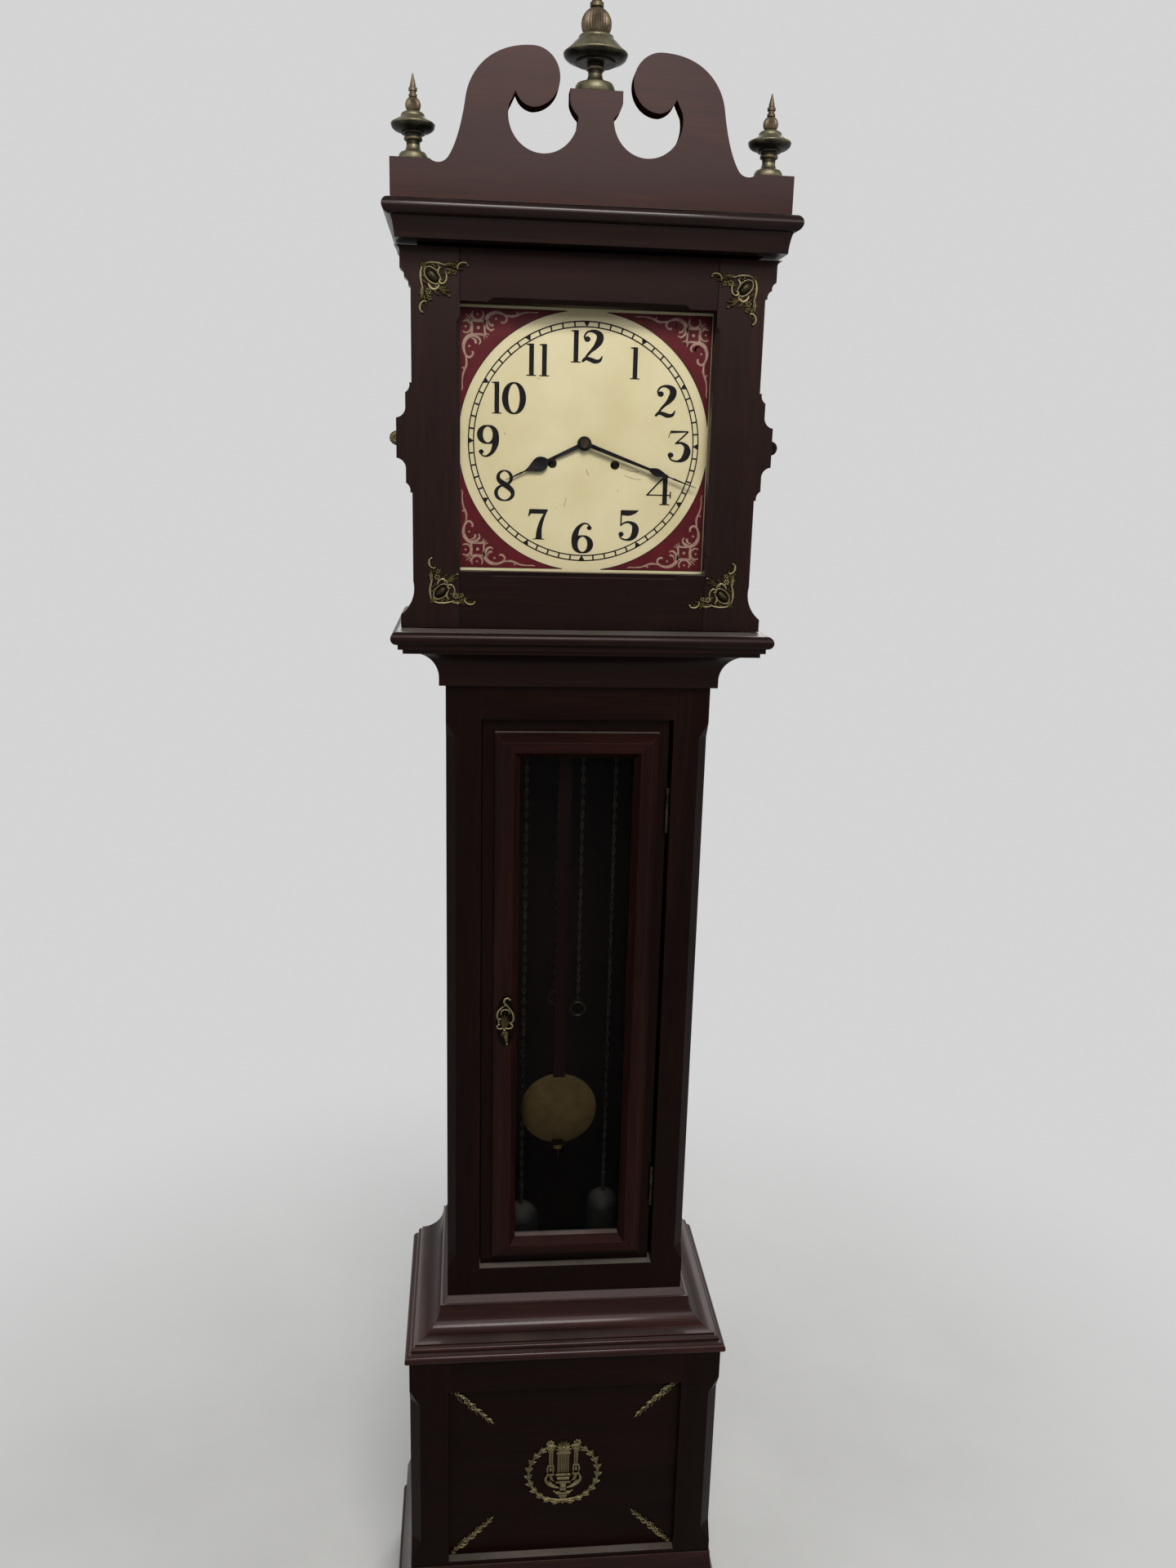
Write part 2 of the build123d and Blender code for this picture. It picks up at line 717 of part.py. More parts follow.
hood_arris = (sqrt(0.5), -sqrt(0.5))
hood_chamfer_stop = 14.0
with BuildPart() as hood_door_stiles:
    with BuildSketch(front_plane(y_hood_door)):
        stile_outline()
    extrude(amount=-hood_door_t)
    stopped_chamfer(
        (hood_open_half, y_hood_door, 0),
        (0, 0, 1),
        (-hood_arris[0], hood_arris[1], 0),
        hood_open_low + hood_chamfer_stop,
        hood_open_high - hood_chamfer_stop,
        hood_chamfer,
    )
    mirror(about=Plane.YZ)
save(hood_door_stiles, "hood_door_stiles")

with BuildPart() as hood_door_rails:
    span = (-hood_open_half, hood_open_half)
    thick = (y_hood_door, y_hood_door + hood_door_t)
    slab(span, thick, (hood_door_low, hood_open_low))
    slab(span, thick, (hood_open_high, hood_door_high))
    for level, way in ((hood_open_low, 1), (hood_open_high, -1)):
        stopped_chamfer(
            (0, y_hood_door, level),
            (1, 0, 0),
            (0, -hood_arris[0], way * hood_arris[0]),
            -hood_open_half + 2 * hood_chamfer_stop,
            hood_open_half - 2 * hood_chamfer_stop,
            hood_chamfer,
        )
save(hood_door_rails, "hood_door_rails")

glass_set = 8.0  # glass in from the back of the hood door
with BuildPart() as hood_glass:
    y_glass = y_hood_door + hood_door_t - glass_set
    slab(
        (-hood_open_half, hood_open_half),
        (y_glass, y_glass + glass_t),
        (hood_open_low, hood_open_high),
    )
save(hood_glass, "hood_glass")

corner_arm = 58.0
corner_tip = 5.0
corner_web = 30.0
top_corner = (46.0, 41.0)  # mount's outer corner past the opening, across and up
low_corner = (37.5, 40.0)
with BuildPart() as hood_mounts:
    for (across, up), level, way in (
        (top_corner, hood_open_high, 1),
        (low_corner, hood_open_low, -1),
    ):
        with BuildSketch(front_plane(y_hood_door, hood_open_half + across, level + way * up)):
            with BuildLine():
                tip = (-corner_arm, -way * corner_tip)
                web = (-corner_web * 0.6, -way * corner_web * 0.6)
                side_tip = (-corner_tip, -way * corner_arm)
                Polyline((0, 0), (-corner_arm, 0), tip)
                ThreePointArc(tip, web, side_tip)
                Polyline(side_tip, (0, -way * corner_arm), (0, 0))
            make_face()
        extrude(amount=mount_t)
        with BuildSketch(
            front_plane(
                y_hood_door - mount_t,
                hood_open_half + across - corner_web * 0.4,
                level + way * (up - corner_web * 0.4),
            )
        ):
            Ellipse(corner_web * 0.2, corner_web * 0.27, rotation=way * 45)
        extrude(amount=mount_t / 2)
    y_roundel = y_hood_door + (hood_door_t - roundel_t) / 2
    with BuildSketch(front_plane(y_roundel, stile_x + ear_step, z_dial)):
        Circle(roundel_r)
        with Locations((-roundel_r, 0)):
            Rectangle(2 * roundel_r, 2 * roundel_r, mode=Mode.SUBTRACT)
    extrude(amount=-roundel_t)
    mirror(about=Plane.YZ)
save(hood_mounts, "hood_mounts")

# Trunk door: flat frame, raised mitred moulding, glass and lock
y_trunk_door = y_trunk + trunk_door_recess
door_left = -trunk_open_half + trunk_door_gap
door_right = trunk_open_half - trunk_hinge_gap
door_low = trunk_open_low + trunk_door_gap
door_high = trunk_open_high - trunk_door_gap
moulding_half = trunk_open_half - trunk_margin
moulding_low = trunk_open_low + trunk_margin
moulding_high = trunk_open_high - trunk_margin
sight_half = moulding_half - trunk_moulding_w
sight_low = moulding_low + trunk_moulding_w
sight_high = moulding_high - trunk_moulding_w
pane_half = sight_half + glass_lap
with BuildPart() as trunk_door_frame:
    thick = (y_trunk_door, y_trunk_door + trunk_door_t)
    slab((door_left, -pane_half), thick, (door_low, door_high))
    slab((pane_half, door_right), thick, (door_low, door_high))
    between = (-pane_half + seam, pane_half - seam)
    slab(between, thick, (door_low, sight_low - glass_lap))
    slab(between, thick, (sight_high + glass_lap, door_high))
save(trunk_door_frame, "trunk_door_frame")

with BuildPart() as trunk_door_moulding:
    middle = (moulding_low + moulding_high) / 2
    with BuildSketch(Plane(origin=(-moulding_half, y_trunk_door, middle), z_dir=(0, 0, 1))):
        Polygon(
            (0, 0),
            (0, -trunk_moulding_edge),
            (trunk_bevel_out, -trunk_moulding_h),
            (trunk_moulding_w - trunk_bevel_in, -trunk_moulding_h),
            (trunk_moulding_w, -trunk_moulding_edge),
            (trunk_moulding_w, 0),
            align=None,
        )
    with BuildLine():
        Polyline(
            (-moulding_half, y_trunk_door, middle),
            (-moulding_half, y_trunk_door, moulding_high),
            (moulding_half, y_trunk_door, moulding_high),
            (moulding_half, y_trunk_door, moulding_low),
            (-moulding_half, y_trunk_door, moulding_low),
            (-moulding_half, y_trunk_door, middle),
        )
    sweep(transition=Transition.RIGHT)
    for side in (-1, 1):
        for way, level in ((-1, moulding_low), (1, moulding_high)):
            inset = trunk_moulding_w / 2
            corner = (side * (moulding_half - inset), y_trunk_door, level - way * inset)
            with Locations(Location(corner, (0, -45 * side * way, 0))):
                Box(3 * trunk_moulding_w, 3 * trunk_moulding_h, mitre_gap, mode=Mode.SUBTRACT)
save(trunk_door_moulding, "trunk_door_moulding")

with BuildPart() as trunk_glass:
    slab(
        (-pane_half, pane_half),
        (y_trunk_door, y_trunk_door + glass_t),
        (sight_low - glass_lap, sight_high + glass_lap),
    )
save(trunk_glass, "trunk_glass")

lock_x = -(moulding_half + sight_half) / 2
lock_z = (trunk_open_low + trunk_open_high) / 2 - lock_drop
lock_w = 28.0
lock_h = 42.0
lock_t = 9.0
keyhole_r = 2.2
with BuildPart() as door_lock:
    with BuildSketch(front_plane(y_trunk_door - trunk_moulding_h, lock_x, lock_z)):
        Ellipse(escutcheon_w / 2, escutcheon_h / 2)
        Circle(keyhole_r, mode=Mode.SUBTRACT)
        with Locations((0, -2 * keyhole_r)):
            Rectangle(keyhole_r, 4 * keyhole_r, mode=Mode.SUBTRACT)
    extrude(amount=mount_t)
    case_back = y_trunk_door + trunk_door_t
    slab(
        (door_left + seam, door_left + seam + lock_w),
        (case_back, case_back + lock_t),
        (lock_z - lock_h / 2, lock_z + lock_h / 2),
    )
save(door_lock, "door_lock")

# Hinges: each has two fixed knuckles on a pin and one moving knuckle between them
knuckle_r = 3.0
pin_r = 1.5
leaf_t = 1.5
knuckle_clear = 0.4
hinge_float = 0.3
trunk_hinge_h = 60.0
trunk_hinge_set = 90.0  # hinge in from the ends of the opening
hood_hinge_h = 22.0
hood_hinge_low = 4.0  # lower hinge above the foot of the door
hood_hinge_high = 8.0  # upper hinge below the head of the door
hood_leaf = 8.0
hood_case_leaf = 20.0


def fixed_leaf(x, y, low, high, leaf_x, leaf_y):
    """The half of a hinge that stays on the case, with its pin."""
    third = (high - low) / 3
    for level in ((low, low + third - hinge_float), (high - third + hinge_float, high)):
        post(x, y, knuckle_r, level)
        slab(leaf_x, leaf_y, level)
    post(x, y, pin_r, (low, high))


def moving_leaf(x, y, low, high, leaf_x, leaf_y):
    """The half of a hinge that swings with the door."""
    third = (high - low) / 3
    level = (low + third, high - third)
    post(x, y, knuckle_r, level)
    slab(leaf_x, leaf_y, level)
    post(x, y, pin_r + running, level, Mode.SUBTRACT)


trunk_hinge_x = trunk_open_half - knuckle_r - hinge_float
trunk_hinge_y = y_trunk_door - knuckle_r - knuckle_clear
trunk_hinges = (
    (trunk_open_low + trunk_hinge_set, trunk_open_low + trunk_hinge_set + trunk_hinge_h),
    (trunk_open_high - trunk_hinge_set - trunk_hinge_h, trunk_open_high - trunk_hinge_set),
)
y_hood_door_back = y_hood_door + hood_door_t
hood_hinge_x = hood_half + knuckle_r + knuckle_clear
hood_hinge_y = y_hood_door_back + knuckle_r + knuckle_clear
hood_hinges = (
    (hood_door_low + hood_hinge_low, hood_door_low + hood_hinge_low + hood_hinge_h),
    (hood_door_high - hood_hinge_high - hood_hinge_h, hood_door_high - hood_hinge_high),
)
with BuildPart() as case_hinges:
    for low, high in trunk_hinges:
        fixed_leaf(
            trunk_hinge_x,
            trunk_hinge_y,
            low,
            high,
            (trunk_open_half - leaf_t, trunk_open_half),
            (trunk_hinge_y, y_trunk + trunk_post_d - leaf_t),
        )
    for low, high in hood_hinges:
        fixed_leaf(
            hood_hinge_x,
            hood_hinge_y,
            low,
            high,
            (hood_half, hood_half + leaf_t),
            (hood_hinge_y, hood_hinge_y + hood_case_leaf),
        )
save(case_hinges, "case_hinges")

with BuildPart() as trunk_door_hinges:
    for low, high in trunk_hinges:
        moving_leaf(
            trunk_hinge_x,
            trunk_hinge_y,
            low,
            high,
            (door_right, door_right + leaf_t),
            (trunk_hinge_y, y_trunk_door + trunk_door_t - leaf_t),
        )
save(trunk_door_hinges, "trunk_door_hinges")

with BuildPart() as hood_door_hinges:
    for low, high in hood_hinges:
        moving_leaf(
            hood_hinge_x,
            hood_hinge_y,
            low,
            high,
            (hood_hinge_x, hood_hinge_x + hood_leaf),
            (y_hood_door_back, y_hood_door_back + leaf_t),
        )
save(hood_door_hinges, "hood_door_hinges")

# Seat board across the cheeks, with holes for the chains
chain_out = winding_x + sprocket_r
chain_in = winding_x - sprocket_r
chain_hole_r = 6.0
seat_front = 4.0
with BuildPart() as seat_board:
    y_seat = y_plate - seat_front
    slab((-trunk_half, trunk_half), (y_seat, y_seat + seat_d), (z_seat, z_seat + seat_t))
    for x in (-chain_out, -chain_in, chain_in, chain_out):
        post(x, y_chain, chain_hole_r, (z_seat, z_seat + seat_t), Mode.SUBTRACT)
save(seat_board, "seat_board")

# Places of the wheel centres, as (x, z), and the wheel train's tooth counts
third_rise = 28.0
escape_rise = 32.0
centre_at = (0.0, z_dial)
time_at = (winding_x, z_winding)
strike_at = (-winding_x, z_winding)
third_at = (18.0, z_dial + third_rise)
escape_at = (pendulum_x, z_dial + escape_rise)
anchor_at = (pendulum_x, z_suspension)
motion_d = 24.0  # hand arbor to the minute wheel's stud
motion_angle = 30.0
hour_wheel_set = 5.0  # behind the dial's face
minute_wheel_set = 13.0
stud_at = (motion_d * cos(radians(motion_angle)), z_dial + motion_d * sin(radians(motion_angle)))
great_teeth, centre_teeth, third_teeth, pinion_teeth = 96, 96, 90, 12
minute_teeth, hour_teeth = 36, 48
pallet_arbor_r = 2.0


def mesh(driver, driven, driver_teeth, driven_teeth):
    """Pitch radii and tooth angles of two wheels whose teeth meet on the line of centres."""
    across, up = driven[0] - driver[0], driven[1] - driver[1]
    module = 2 * hypot(across, up) / (driver_teeth + driven_teeth)
    angle = degrees(atan2(up, across))
    return (
        module * driver_teeth / 2,
        angle,
        module * driven_teeth / 2,
        angle + 180 + 180 / driven_teeth,
    )


# Movement plates with the hands' stud and the hammer's bracket
y_plate_end = y_plate_back + plate_t
plate_low = z_seat + seat_t
plate_high = z_dial + plate_head
y_hour_wheel = y_dial + hour_wheel_set
y_minute_wheel = y_dial + minute_wheel_set
stud_r = 2.0
hammer_x = -30.0
hammer_set = 41.0  # hammer's pin ahead of the back board
hammer_rise = 65.0  # and above the cheeks
hammer_at = (hammer_x, y_inner - hammer_set, z_seat + hammer_rise)
hammer_hub_w = 7.0
hammer_hub_r = 5.0
hammer_pin_r = 2.0
hammer_side = 0.5
bracket_w = 5.0
bracket_half_h = 6.0
stud_end = 1.0
with BuildPart() as movement_plates:
    for y in (y_plate, y_plate_back):
        slab((-plate_half_w, plate_half_w), (y, y + plate_t), (plate_low, plate_high))
    both = (y_plate, y_plate_end)
    for x, z in (centre_at, time_at, strike_at):
        rod(x, z, arbor_r + running, both, Mode.SUBTRACT)
    for x, z in (third_at, escape_at):
        rod(x, z, pivot_r + running, both, Mode.SUBTRACT)
    rod(*anchor_at, pallet_arbor_r + running, both, Mode.SUBTRACT)
    rod(*stud_at, stud_r, (y_hour_wheel - stud_end, y_plate))
    x, y, z = hammer_at
    bracket_x = x - hammer_hub_w / 2 - hammer_side - bracket_w
    slab(
        (bracket_x, bracket_x + bracket_w),
        (y_plate_end, y + bracket_w),
        (z - bracket_half_h, z + bracket_half_h),
    )
    with BuildSketch(Plane.YZ.offset(bracket_x)):
        with Locations((y, z)):
            Circle(hammer_pin_r)
    extrude(amount=bracket_w + hammer_side + hammer_hub_w + hammer_side)
save(movement_plates, "movement_plates")

pillar_set = 8.0  # pillar in from the plate's sides
pillar_end = 12.0  # and from its ends
pillar_x = plate_half_w - pillar_set
pillar_low = plate_low + pillar_end
pillar_high = plate_high - pillar_end
nut_t = 3.0
with BuildPart() as plate_pillars:
    for x in (-pillar_x, pillar_x):
        for z in (pillar_low, pillar_high):
            rod(x, z, pillar_r, (y_plate + plate_t, y_plate_back))
            for y in (y_plate - nut_t, y_plate_end):
                with BuildSketch(front_plane(y, x, z)):
                    RegularPolygon(pillar_r, 6)
                extrude(amount=-nut_t)
save(plate_pillars, "plate_pillars")

# Dial with its feet, pinned to the front plate
dial_foot_x = 55.0
dial_foot_z = 65.0
hour_pipe_r = 5.0
pipe_clear = 1.0
with BuildPart() as dial_plate:
    half = dial_size / 2
    slab((-half, half), (y_dial, y_dial + dial_t), (z_dial - half, z_dial + half))
    face = (y_dial, y_dial + dial_t)
    rod(*centre_at, hour_pipe_r + pipe_clear, face, Mode.SUBTRACT)
    for x in (-winding_x, winding_x):
        rod(x, z_winding, winding_hole_r, face, Mode.SUBTRACT)
    for x in (-dial_foot_x, dial_foot_x):
        for up in (-dial_foot_z, dial_foot_z):
            rod(x, z_dial + up, dial_foot_r, (y_dial + dial_t, y_plate))
save(dial_plate, "dial_plate")

# Hands, drawn along their own length
hour_hand_set = 5.4  # front of the hand ahead of the dial's face
minute_hand_set = 8.9
y_hour_hand = y_dial - hour_hand_set
y_minute_hand = y_dial - minute_hand_set
hour_drop_from = 0.46  # share of the hand's length where its drop begins
hour_drop_half = 8.6
minute_drop_from = 0.58
minute_drop_half = 4.6
drop_to = 0.8
drop_shape = ((0.1, 0.68), (0.28, 1.0), (0.62, 0.5))  # shares of the drop's run and of its half width
root_swell = 1.6
needle_share = 0.7
hand_tip = 0.3
hub_r = 8.5
minute_hub_r = 6.8
stem_w = 1.7  # half the width of a hand's stem
press_clear = 0.02


def hand(length, angle, y, bore, boss_r, drop_from, drop_half):
    """Add a hand with a drop-shaped swelling to the part in hand; angle is clockwise from twelve."""
    turn = radians(angle)
    along = Plane(origin=(0, y, z_dial), x_dir=(sin(turn), 0, cos(turn)), z_dir=(0, -1, 0))
    drop_start, drop_end = drop_from * length, drop_to * length
    drop_run = drop_end - drop_start
    root_w, needle_w = stem_w * root_swell, stem_w * needle_share
    with BuildSketch(along) as outline:
        with BuildLine() as edge:
            for side in (-1, 1):
                Line((0, 0), (0, side * root_w))
                Line((0, side * root_w), (drop_start, side * stem_w))
                Spline(
                    (drop_start, side * stem_w),
                    *[(drop_start + run * drop_run, side * wide * drop_half) for run, wide in drop_shape],
                    (drop_end, side * needle_w),
                )
                Line((drop_end, side * needle_w), (length, side * hand_tip))
            Line((length, -hand_tip), (length, hand_tip))
        make_face(edge.edges().sort_by(Axis.X))
        Circle(boss_r)
        Circle(bore, mode=Mode.SUBTRACT)
    extrude(outline.sketch, amount=-hand_t)


with BuildPart() as hour_hand:
    hand(
        hour_length, hour_angle, y_hour_hand, hour_pipe_r + press_clear, hub_r,
        hour_drop_from, hour_drop_half,
    )
save(hour_hand, "hour_hand")

hand_nut_r = 5.0
hand_nut_t = 2.5
with BuildPart() as minute_hand:
    hand(
        minute_length, minute_angle, y_minute_hand, arbor_r + press_clear, minute_hub_r,
        minute_drop_from, minute_drop_half,
    )
save(minute_hand, "minute_hand")

# Motion work and going train
cannon_r, cannon_turn, minute_r, minute_turn = mesh(centre_at, stud_at, pinion_teeth, minute_teeth)
hour_pinion_r, hour_pinion_turn, hour_r, hour_turn = mesh(
    stud_at, centre_at, pinion_teeth, hour_teeth
)
great_r, great_turn, centre_pinion_r, centre_pinion_turn = mesh(
    time_at, centre_at, great_teeth, pinion_teeth
)
centre_r, centre_turn, third_pinion_r, third_pinion_turn = mesh(
    centre_at, third_at, centre_teeth, pinion_teeth
)
third_r, third_turn, escape_pinion_r, escape_pinion_turn = mesh(
    third_at, escape_at, third_teeth, pinion_teeth
)
wheel_t = 2.0
pinion_t = 4.0
great_set = 3.0  # behind the front plate's back
centre_set = 8.0  # behind the great wheel
third_set = 6.0  # behind the centre wheel
escape_set = 11.0  # ahead of the back plate
pinion_lead = 1.0  # pinion's face ahead of the wheel it meets
y_great = y_plate + plate_t + great_set
y_centre_wheel = y_great + centre_set
y_third_wheel = y_centre_wheel + third_set
y_escape_wheel = y_plate_back - escape_set
pivot_end = 0.5
sleeve_t = 1.5

with BuildPart() as center_arbor:
    rod(*centre_at, arbor_r, (y_minute_hand - hand_nut_t, y_plate_end + pivot_end))
    pinion(pinion_teeth, cannon_r, cannon_turn, y_minute_wheel - pinion_lead, pinion_t, *centre_at)
    y_pinion = y_great - pinion_lead
    pinion(pinion_teeth, centre_pinion_r, centre_pinion_turn, y_pinion, pinion_t, *centre_at)
    wheel(centre_teeth, centre_r, centre_turn, y_centre_wheel, wheel_t, *centre_at)
    rod(*centre_at, hand_nut_r, (y_minute_hand - hand_nut_t, y_minute_hand))
save(center_arbor, "center_arbor")

with BuildPart() as hour_wheel:
    wheel(hour_teeth, hour_r, hour_turn, y_hour_wheel, wheel_t, *centre_at)
    rod(*centre_at, hour_pipe_r, (y_hour_hand, y_hour_wheel + wheel_t))
    rod(*centre_at, arbor_r + running, (y_hour_hand, y_hour_wheel + wheel_t), Mode.SUBTRACT)
save(hour_wheel, "hour_wheel")

with BuildPart() as minute_wheel:
    wheel(minute_teeth, minute_r, minute_turn, y_minute_wheel, wheel_t, *stud_at)
    y_pinion = y_hour_wheel - stud_end / 2
    hour_pinion_t = wheel_t + stud_end
    pinion(pinion_teeth, hour_pinion_r, hour_pinion_turn, y_pinion, hour_pinion_t, *stud_at)
    sleeve = (y_hour_wheel + wheel_t, y_minute_wheel + wheel_t)
    rod(*stud_at, stud_r + sleeve_t, sleeve)
    rod(*stud_at, stud_r + running, (y_pinion, y_minute_wheel + wheel_t), Mode.SUBTRACT)
save(minute_wheel, "minute_wheel")

with BuildPart() as third_wheel:
    y_pinion = y_centre_wheel - pinion_lead
    pinion(pinion_teeth, third_pinion_r, third_pinion_turn, y_pinion, pinion_t, *third_at)
    wheel(third_teeth, third_r, third_turn, y_third_wheel, wheel_t, *third_at)
    rod(*third_at, pivot_r, (y_plate - pivot_end, y_plate_end + pivot_end))
save(third_wheel, "third_wheel")

escape_r = 15.5
escape_teeth = 30
escape_t = 1.0
escape_root = 0.8 * escape_r
escape_rim = 0.7 * escape_r
with BuildPart() as escape_wheel:
    y_pinion = y_third_wheel - pinion_lead
    pinion(pinion_teeth, escape_pinion_r, escape_pinion_turn, y_pinion, pinion_t, *escape_at)
    with BuildSketch(front_plane(y_escape_wheel, *escape_at)):
        points = []
        for tooth in range(escape_teeth):
            for radius, share in ((escape_r, 0), (escape_root, 0.12), (escape_root, 0.8)):
                turn = radians((tooth + share) * 360 / escape_teeth)
                points.append((radius * cos(turn), radius * sin(turn)))
        Polygon(*points, align=None)
        spokes(escape_rim, 2 * pivot_r)
    extrude(amount=-escape_t)
    rod(*escape_at, pivot_r, (y_plate - pivot_end, y_plate_end + pivot_end))
save(escape_wheel, "escape_wheel")

# Anchor with its crutch; both arms stand clear of the escape wheel
pallet_clear = 1.6
pallet_angle = 52.0
pallet_w = 3.0
arm_h = 5.0
anchor_t = 2.0
crutch_drop = 82.0
crutch_set = 3.0
crutch_half_w = 1.5
fork_clear = 0.4
fork_half_h = 3.0
anchor_hub = pallet_arbor_r + 2
with BuildPart() as pallet_anchor:
    rod(*anchor_at, pallet_arbor_r, (y_plate - crutch_set - anchor_t, y_plate_end + pivot_end))
    y_anchor = y_escape_wheel - (anchor_t - escape_t) / 2
    with BuildSketch(front_plane(y_anchor, *anchor_at)):
        drop = anchor_at[1] - escape_at[1]
        reach = escape_r + pallet_clear
        tip_x = reach * sin(radians(pallet_angle))
        tip_z = reach * cos(radians(pallet_angle)) - drop
        Circle(anchor_hub)
        for side in (-1, 1):
            Polygon(
                (0, anchor_hub),
                (side * (tip_x + pallet_w), tip_z + arm_h),
                (side * (tip_x + pallet_w), tip_z),
                (side * tip_x, tip_z),
                (side * tip_x, tip_z + arm_h),
                (0, 0),
                align=None,
            )
    extrude(amount=-anchor_t)
    x, z = anchor_at
    crutch_y = (y_plate - crutch_set - anchor_t, y_plate - crutch_set)
    slab((x - crutch_half_w, x + crutch_half_w), crutch_y, (z - crutch_drop, z))
    prong = leader_r + fork_clear
    fork_z = (z - crutch_drop - fork_half_h, z - crutch_drop + fork_half_h)
    for side in (-1, 1):
        fork = sorted((x + side * prong, x + side * (prong + crutch_half_w)))
        slab(fork, (y_pendulum - fork_half_h, crutch_y[1]), fork_z)
    slab((x - prong, x + prong), crutch_y, fork_z)
save(pallet_anchor, "pallet_anchor")

# Great wheels and chain sprockets
flange_r = sprocket_r + 2 * chain_r
flange_t = 2.0
groove_half = 5.0
square_front = y_dial + 4.0
square_l = 8.0
great_hub_r = 8.0
strike_set = 4.0  # strike great wheel behind its sprocket


def sprocket(place):
    """Add an arbor with its winding square and the grooved chain wheel to the part in hand."""
    rod(*place, arbor_r, (square_front + square_l, y_plate_end + pivot_end))
    square = arbor_r * sqrt(0.5)
    x, z = place
    square_y = (square_front, square_front + square_l)
    slab((x - square, x + square), square_y, (z - square, z + square))
    rod(*place, sprocket_r - chain_r - chain_clear, (y_chain - groove_half, y_chain + groove_half))
    rod(*place, flange_r, (y_chain - groove_half - flange_t, y_chain - groove_half))
    rod(*place, flange_r, (y_chain + groove_half, y_chain + groove_half + flange_t))


with BuildPart() as time_great_wheel:
    wheel(great_teeth, great_r, great_turn, y_great, wheel_t, *time_at, great_hub_r)
    rod(*time_at, arbor_r + running, (y_great, y_great + wheel_t), Mode.SUBTRACT)
save(time_great_wheel, "time_great_wheel")

with BuildPart() as time_sprocket:
    sprocket(time_at)
save(time_sprocket, "time_sprocket")

with BuildPart() as strike_great_wheel:
    sprocket(strike_at)
    y_wheel = y_chain + groove_half + flange_t + strike_set
    wheel(great_teeth, great_r, 0, y_wheel, wheel_t, *strike_at, great_hub_r)
save(strike_great_wheel, "strike_great_wheel")

# Suspension and pendulum
cock_w = 16.0
cock_h = 12.0
spring_w = 8.0
spring_t = 0.4
spring_l = 4.0
cock_front = 4.0  # cock's face ahead of the spring
with BuildPart() as suspension_cock:
    low = z_suspension + spring_l
    x = pendulum_x
    slab((x - cock_w / 2, x + cock_w / 2), (y_pendulum - cock_front, y_plate), (low, low + cock_h))
    slab(
        (x - spring_w / 2, x + spring_w / 2),
        (y_pendulum - spring_t / 2, y_pendulum + spring_t / 2),
        (z_suspension + chain_clear, low),
    )
save(suspension_cock, "suspension_cock")

z_bob = z_suspension - bob_drop
z_rod_top = z_suspension - leader_drop
rod_fit = 0.2
rating_r = 11.0
rating_h = 6.0
rod_tail = 24.0
rod_end = 42.0  # wooden part's end below the bob's middle
clip_h = 6.0
clip_half_t = 2.0
thread_r = 2.0
with BuildPart() as pendulum_leader:
    x = pendulum_x
    slab(
        (x - spring_w / 2, x + spring_w / 2),
        (y_pendulum - clip_half_t, y_pendulum + clip_half_t),
        (z_suspension - clip_h, z_suspension),
    )
    post(x, y_pendulum, leader_r, (z_rod_top, z_suspension - clip_h))
save(pendulum_leader, "pendulum_leader")

with BuildPart() as pendulum_rod:
    slab(
        (pendulum_x - rod_w / 2, pendulum_x + rod_w / 2),
        (y_pendulum - rod_t / 2, y_pendulum + rod_t / 2),
        (z_bob - rod_end, z_rod_top),
    )
    post(pendulum_x, y_pendulum, thread_r, (z_bob - bob_r - rod_tail, z_bob - rod_end))
save(pendulum_rod, "pendulum_rod")

bob_rim = 2.0
with BuildPart() as pendulum_bob:
    with BuildSketch(Plane(origin=(pendulum_x, y_pendulum, z_bob), z_dir=(0, 0, 1))):
        with BuildLine():
            Line((0, -bob_t / 2), (0, bob_t / 2))
            ThreePointArc((0, bob_t / 2), (bob_r * 0.55, bob_t * 0.39), (bob_r, bob_rim))
            Line((bob_r, bob_rim), (bob_r, -bob_rim))
            ThreePointArc((bob_r, -bob_rim), (bob_r * 0.55, -bob_t * 0.39), (0, -bob_t / 2))
        make_face()
    revolve(axis=Axis((pendulum_x, y_pendulum, z_bob), (0, 1, 0)))
    slab(
        (pendulum_x - rod_w / 2 - rod_fit, pendulum_x + rod_w / 2 + rod_fit),
        (y_pendulum - rod_t / 2 - rod_fit, y_pendulum + rod_t / 2 + rod_fit),
        (z_bob - bob_r, z_bob + bob_r),
        Mode.SUBTRACT,
    )
    z_nut = z_bob - sqrt(bob_r**2 - (rod_w / 2 + rod_fit) ** 2)
    nut = (z_nut - rating_h, z_nut)
    post(pendulum_x, y_pendulum, rating_r, nut)
    post(pendulum_x, y_pendulum, thread_r + running, nut, Mode.SUBTRACT)
save(pendulum_bob, "pendulum_bob")

# Weights, chains and the rings on their free ends; each chain keeps the same whole length
weight_stem = 30.0
weight_stem_r = 3.0
left_ring_z = right_ring_z + right_weight_top - left_weight_top


def weight(x, top):
    """Turn a weight with a domed head and a stem for its chain."""
    with BuildSketch(front_plane(y_chain, x, top)) as half:
        with BuildLine():
            Polyline((0, weight_stem), (weight_stem_r, weight_stem), (weight_stem_r, 0))
            ThreePointArc(
                (weight_stem_r, 0), (weight_r * 0.72, -weight_r * 0.25), (weight_r, -weight_r * 0.7)
            )
            Polyline(
                (weight_r, -weight_r * 0.7), (weight_r, -weight_h), (0, -weight_h), (0, weight_stem)
            )
        make_face()
    revolve(half.sketch, axis=Axis((x, y_chain, top), (0, 0, 1)))


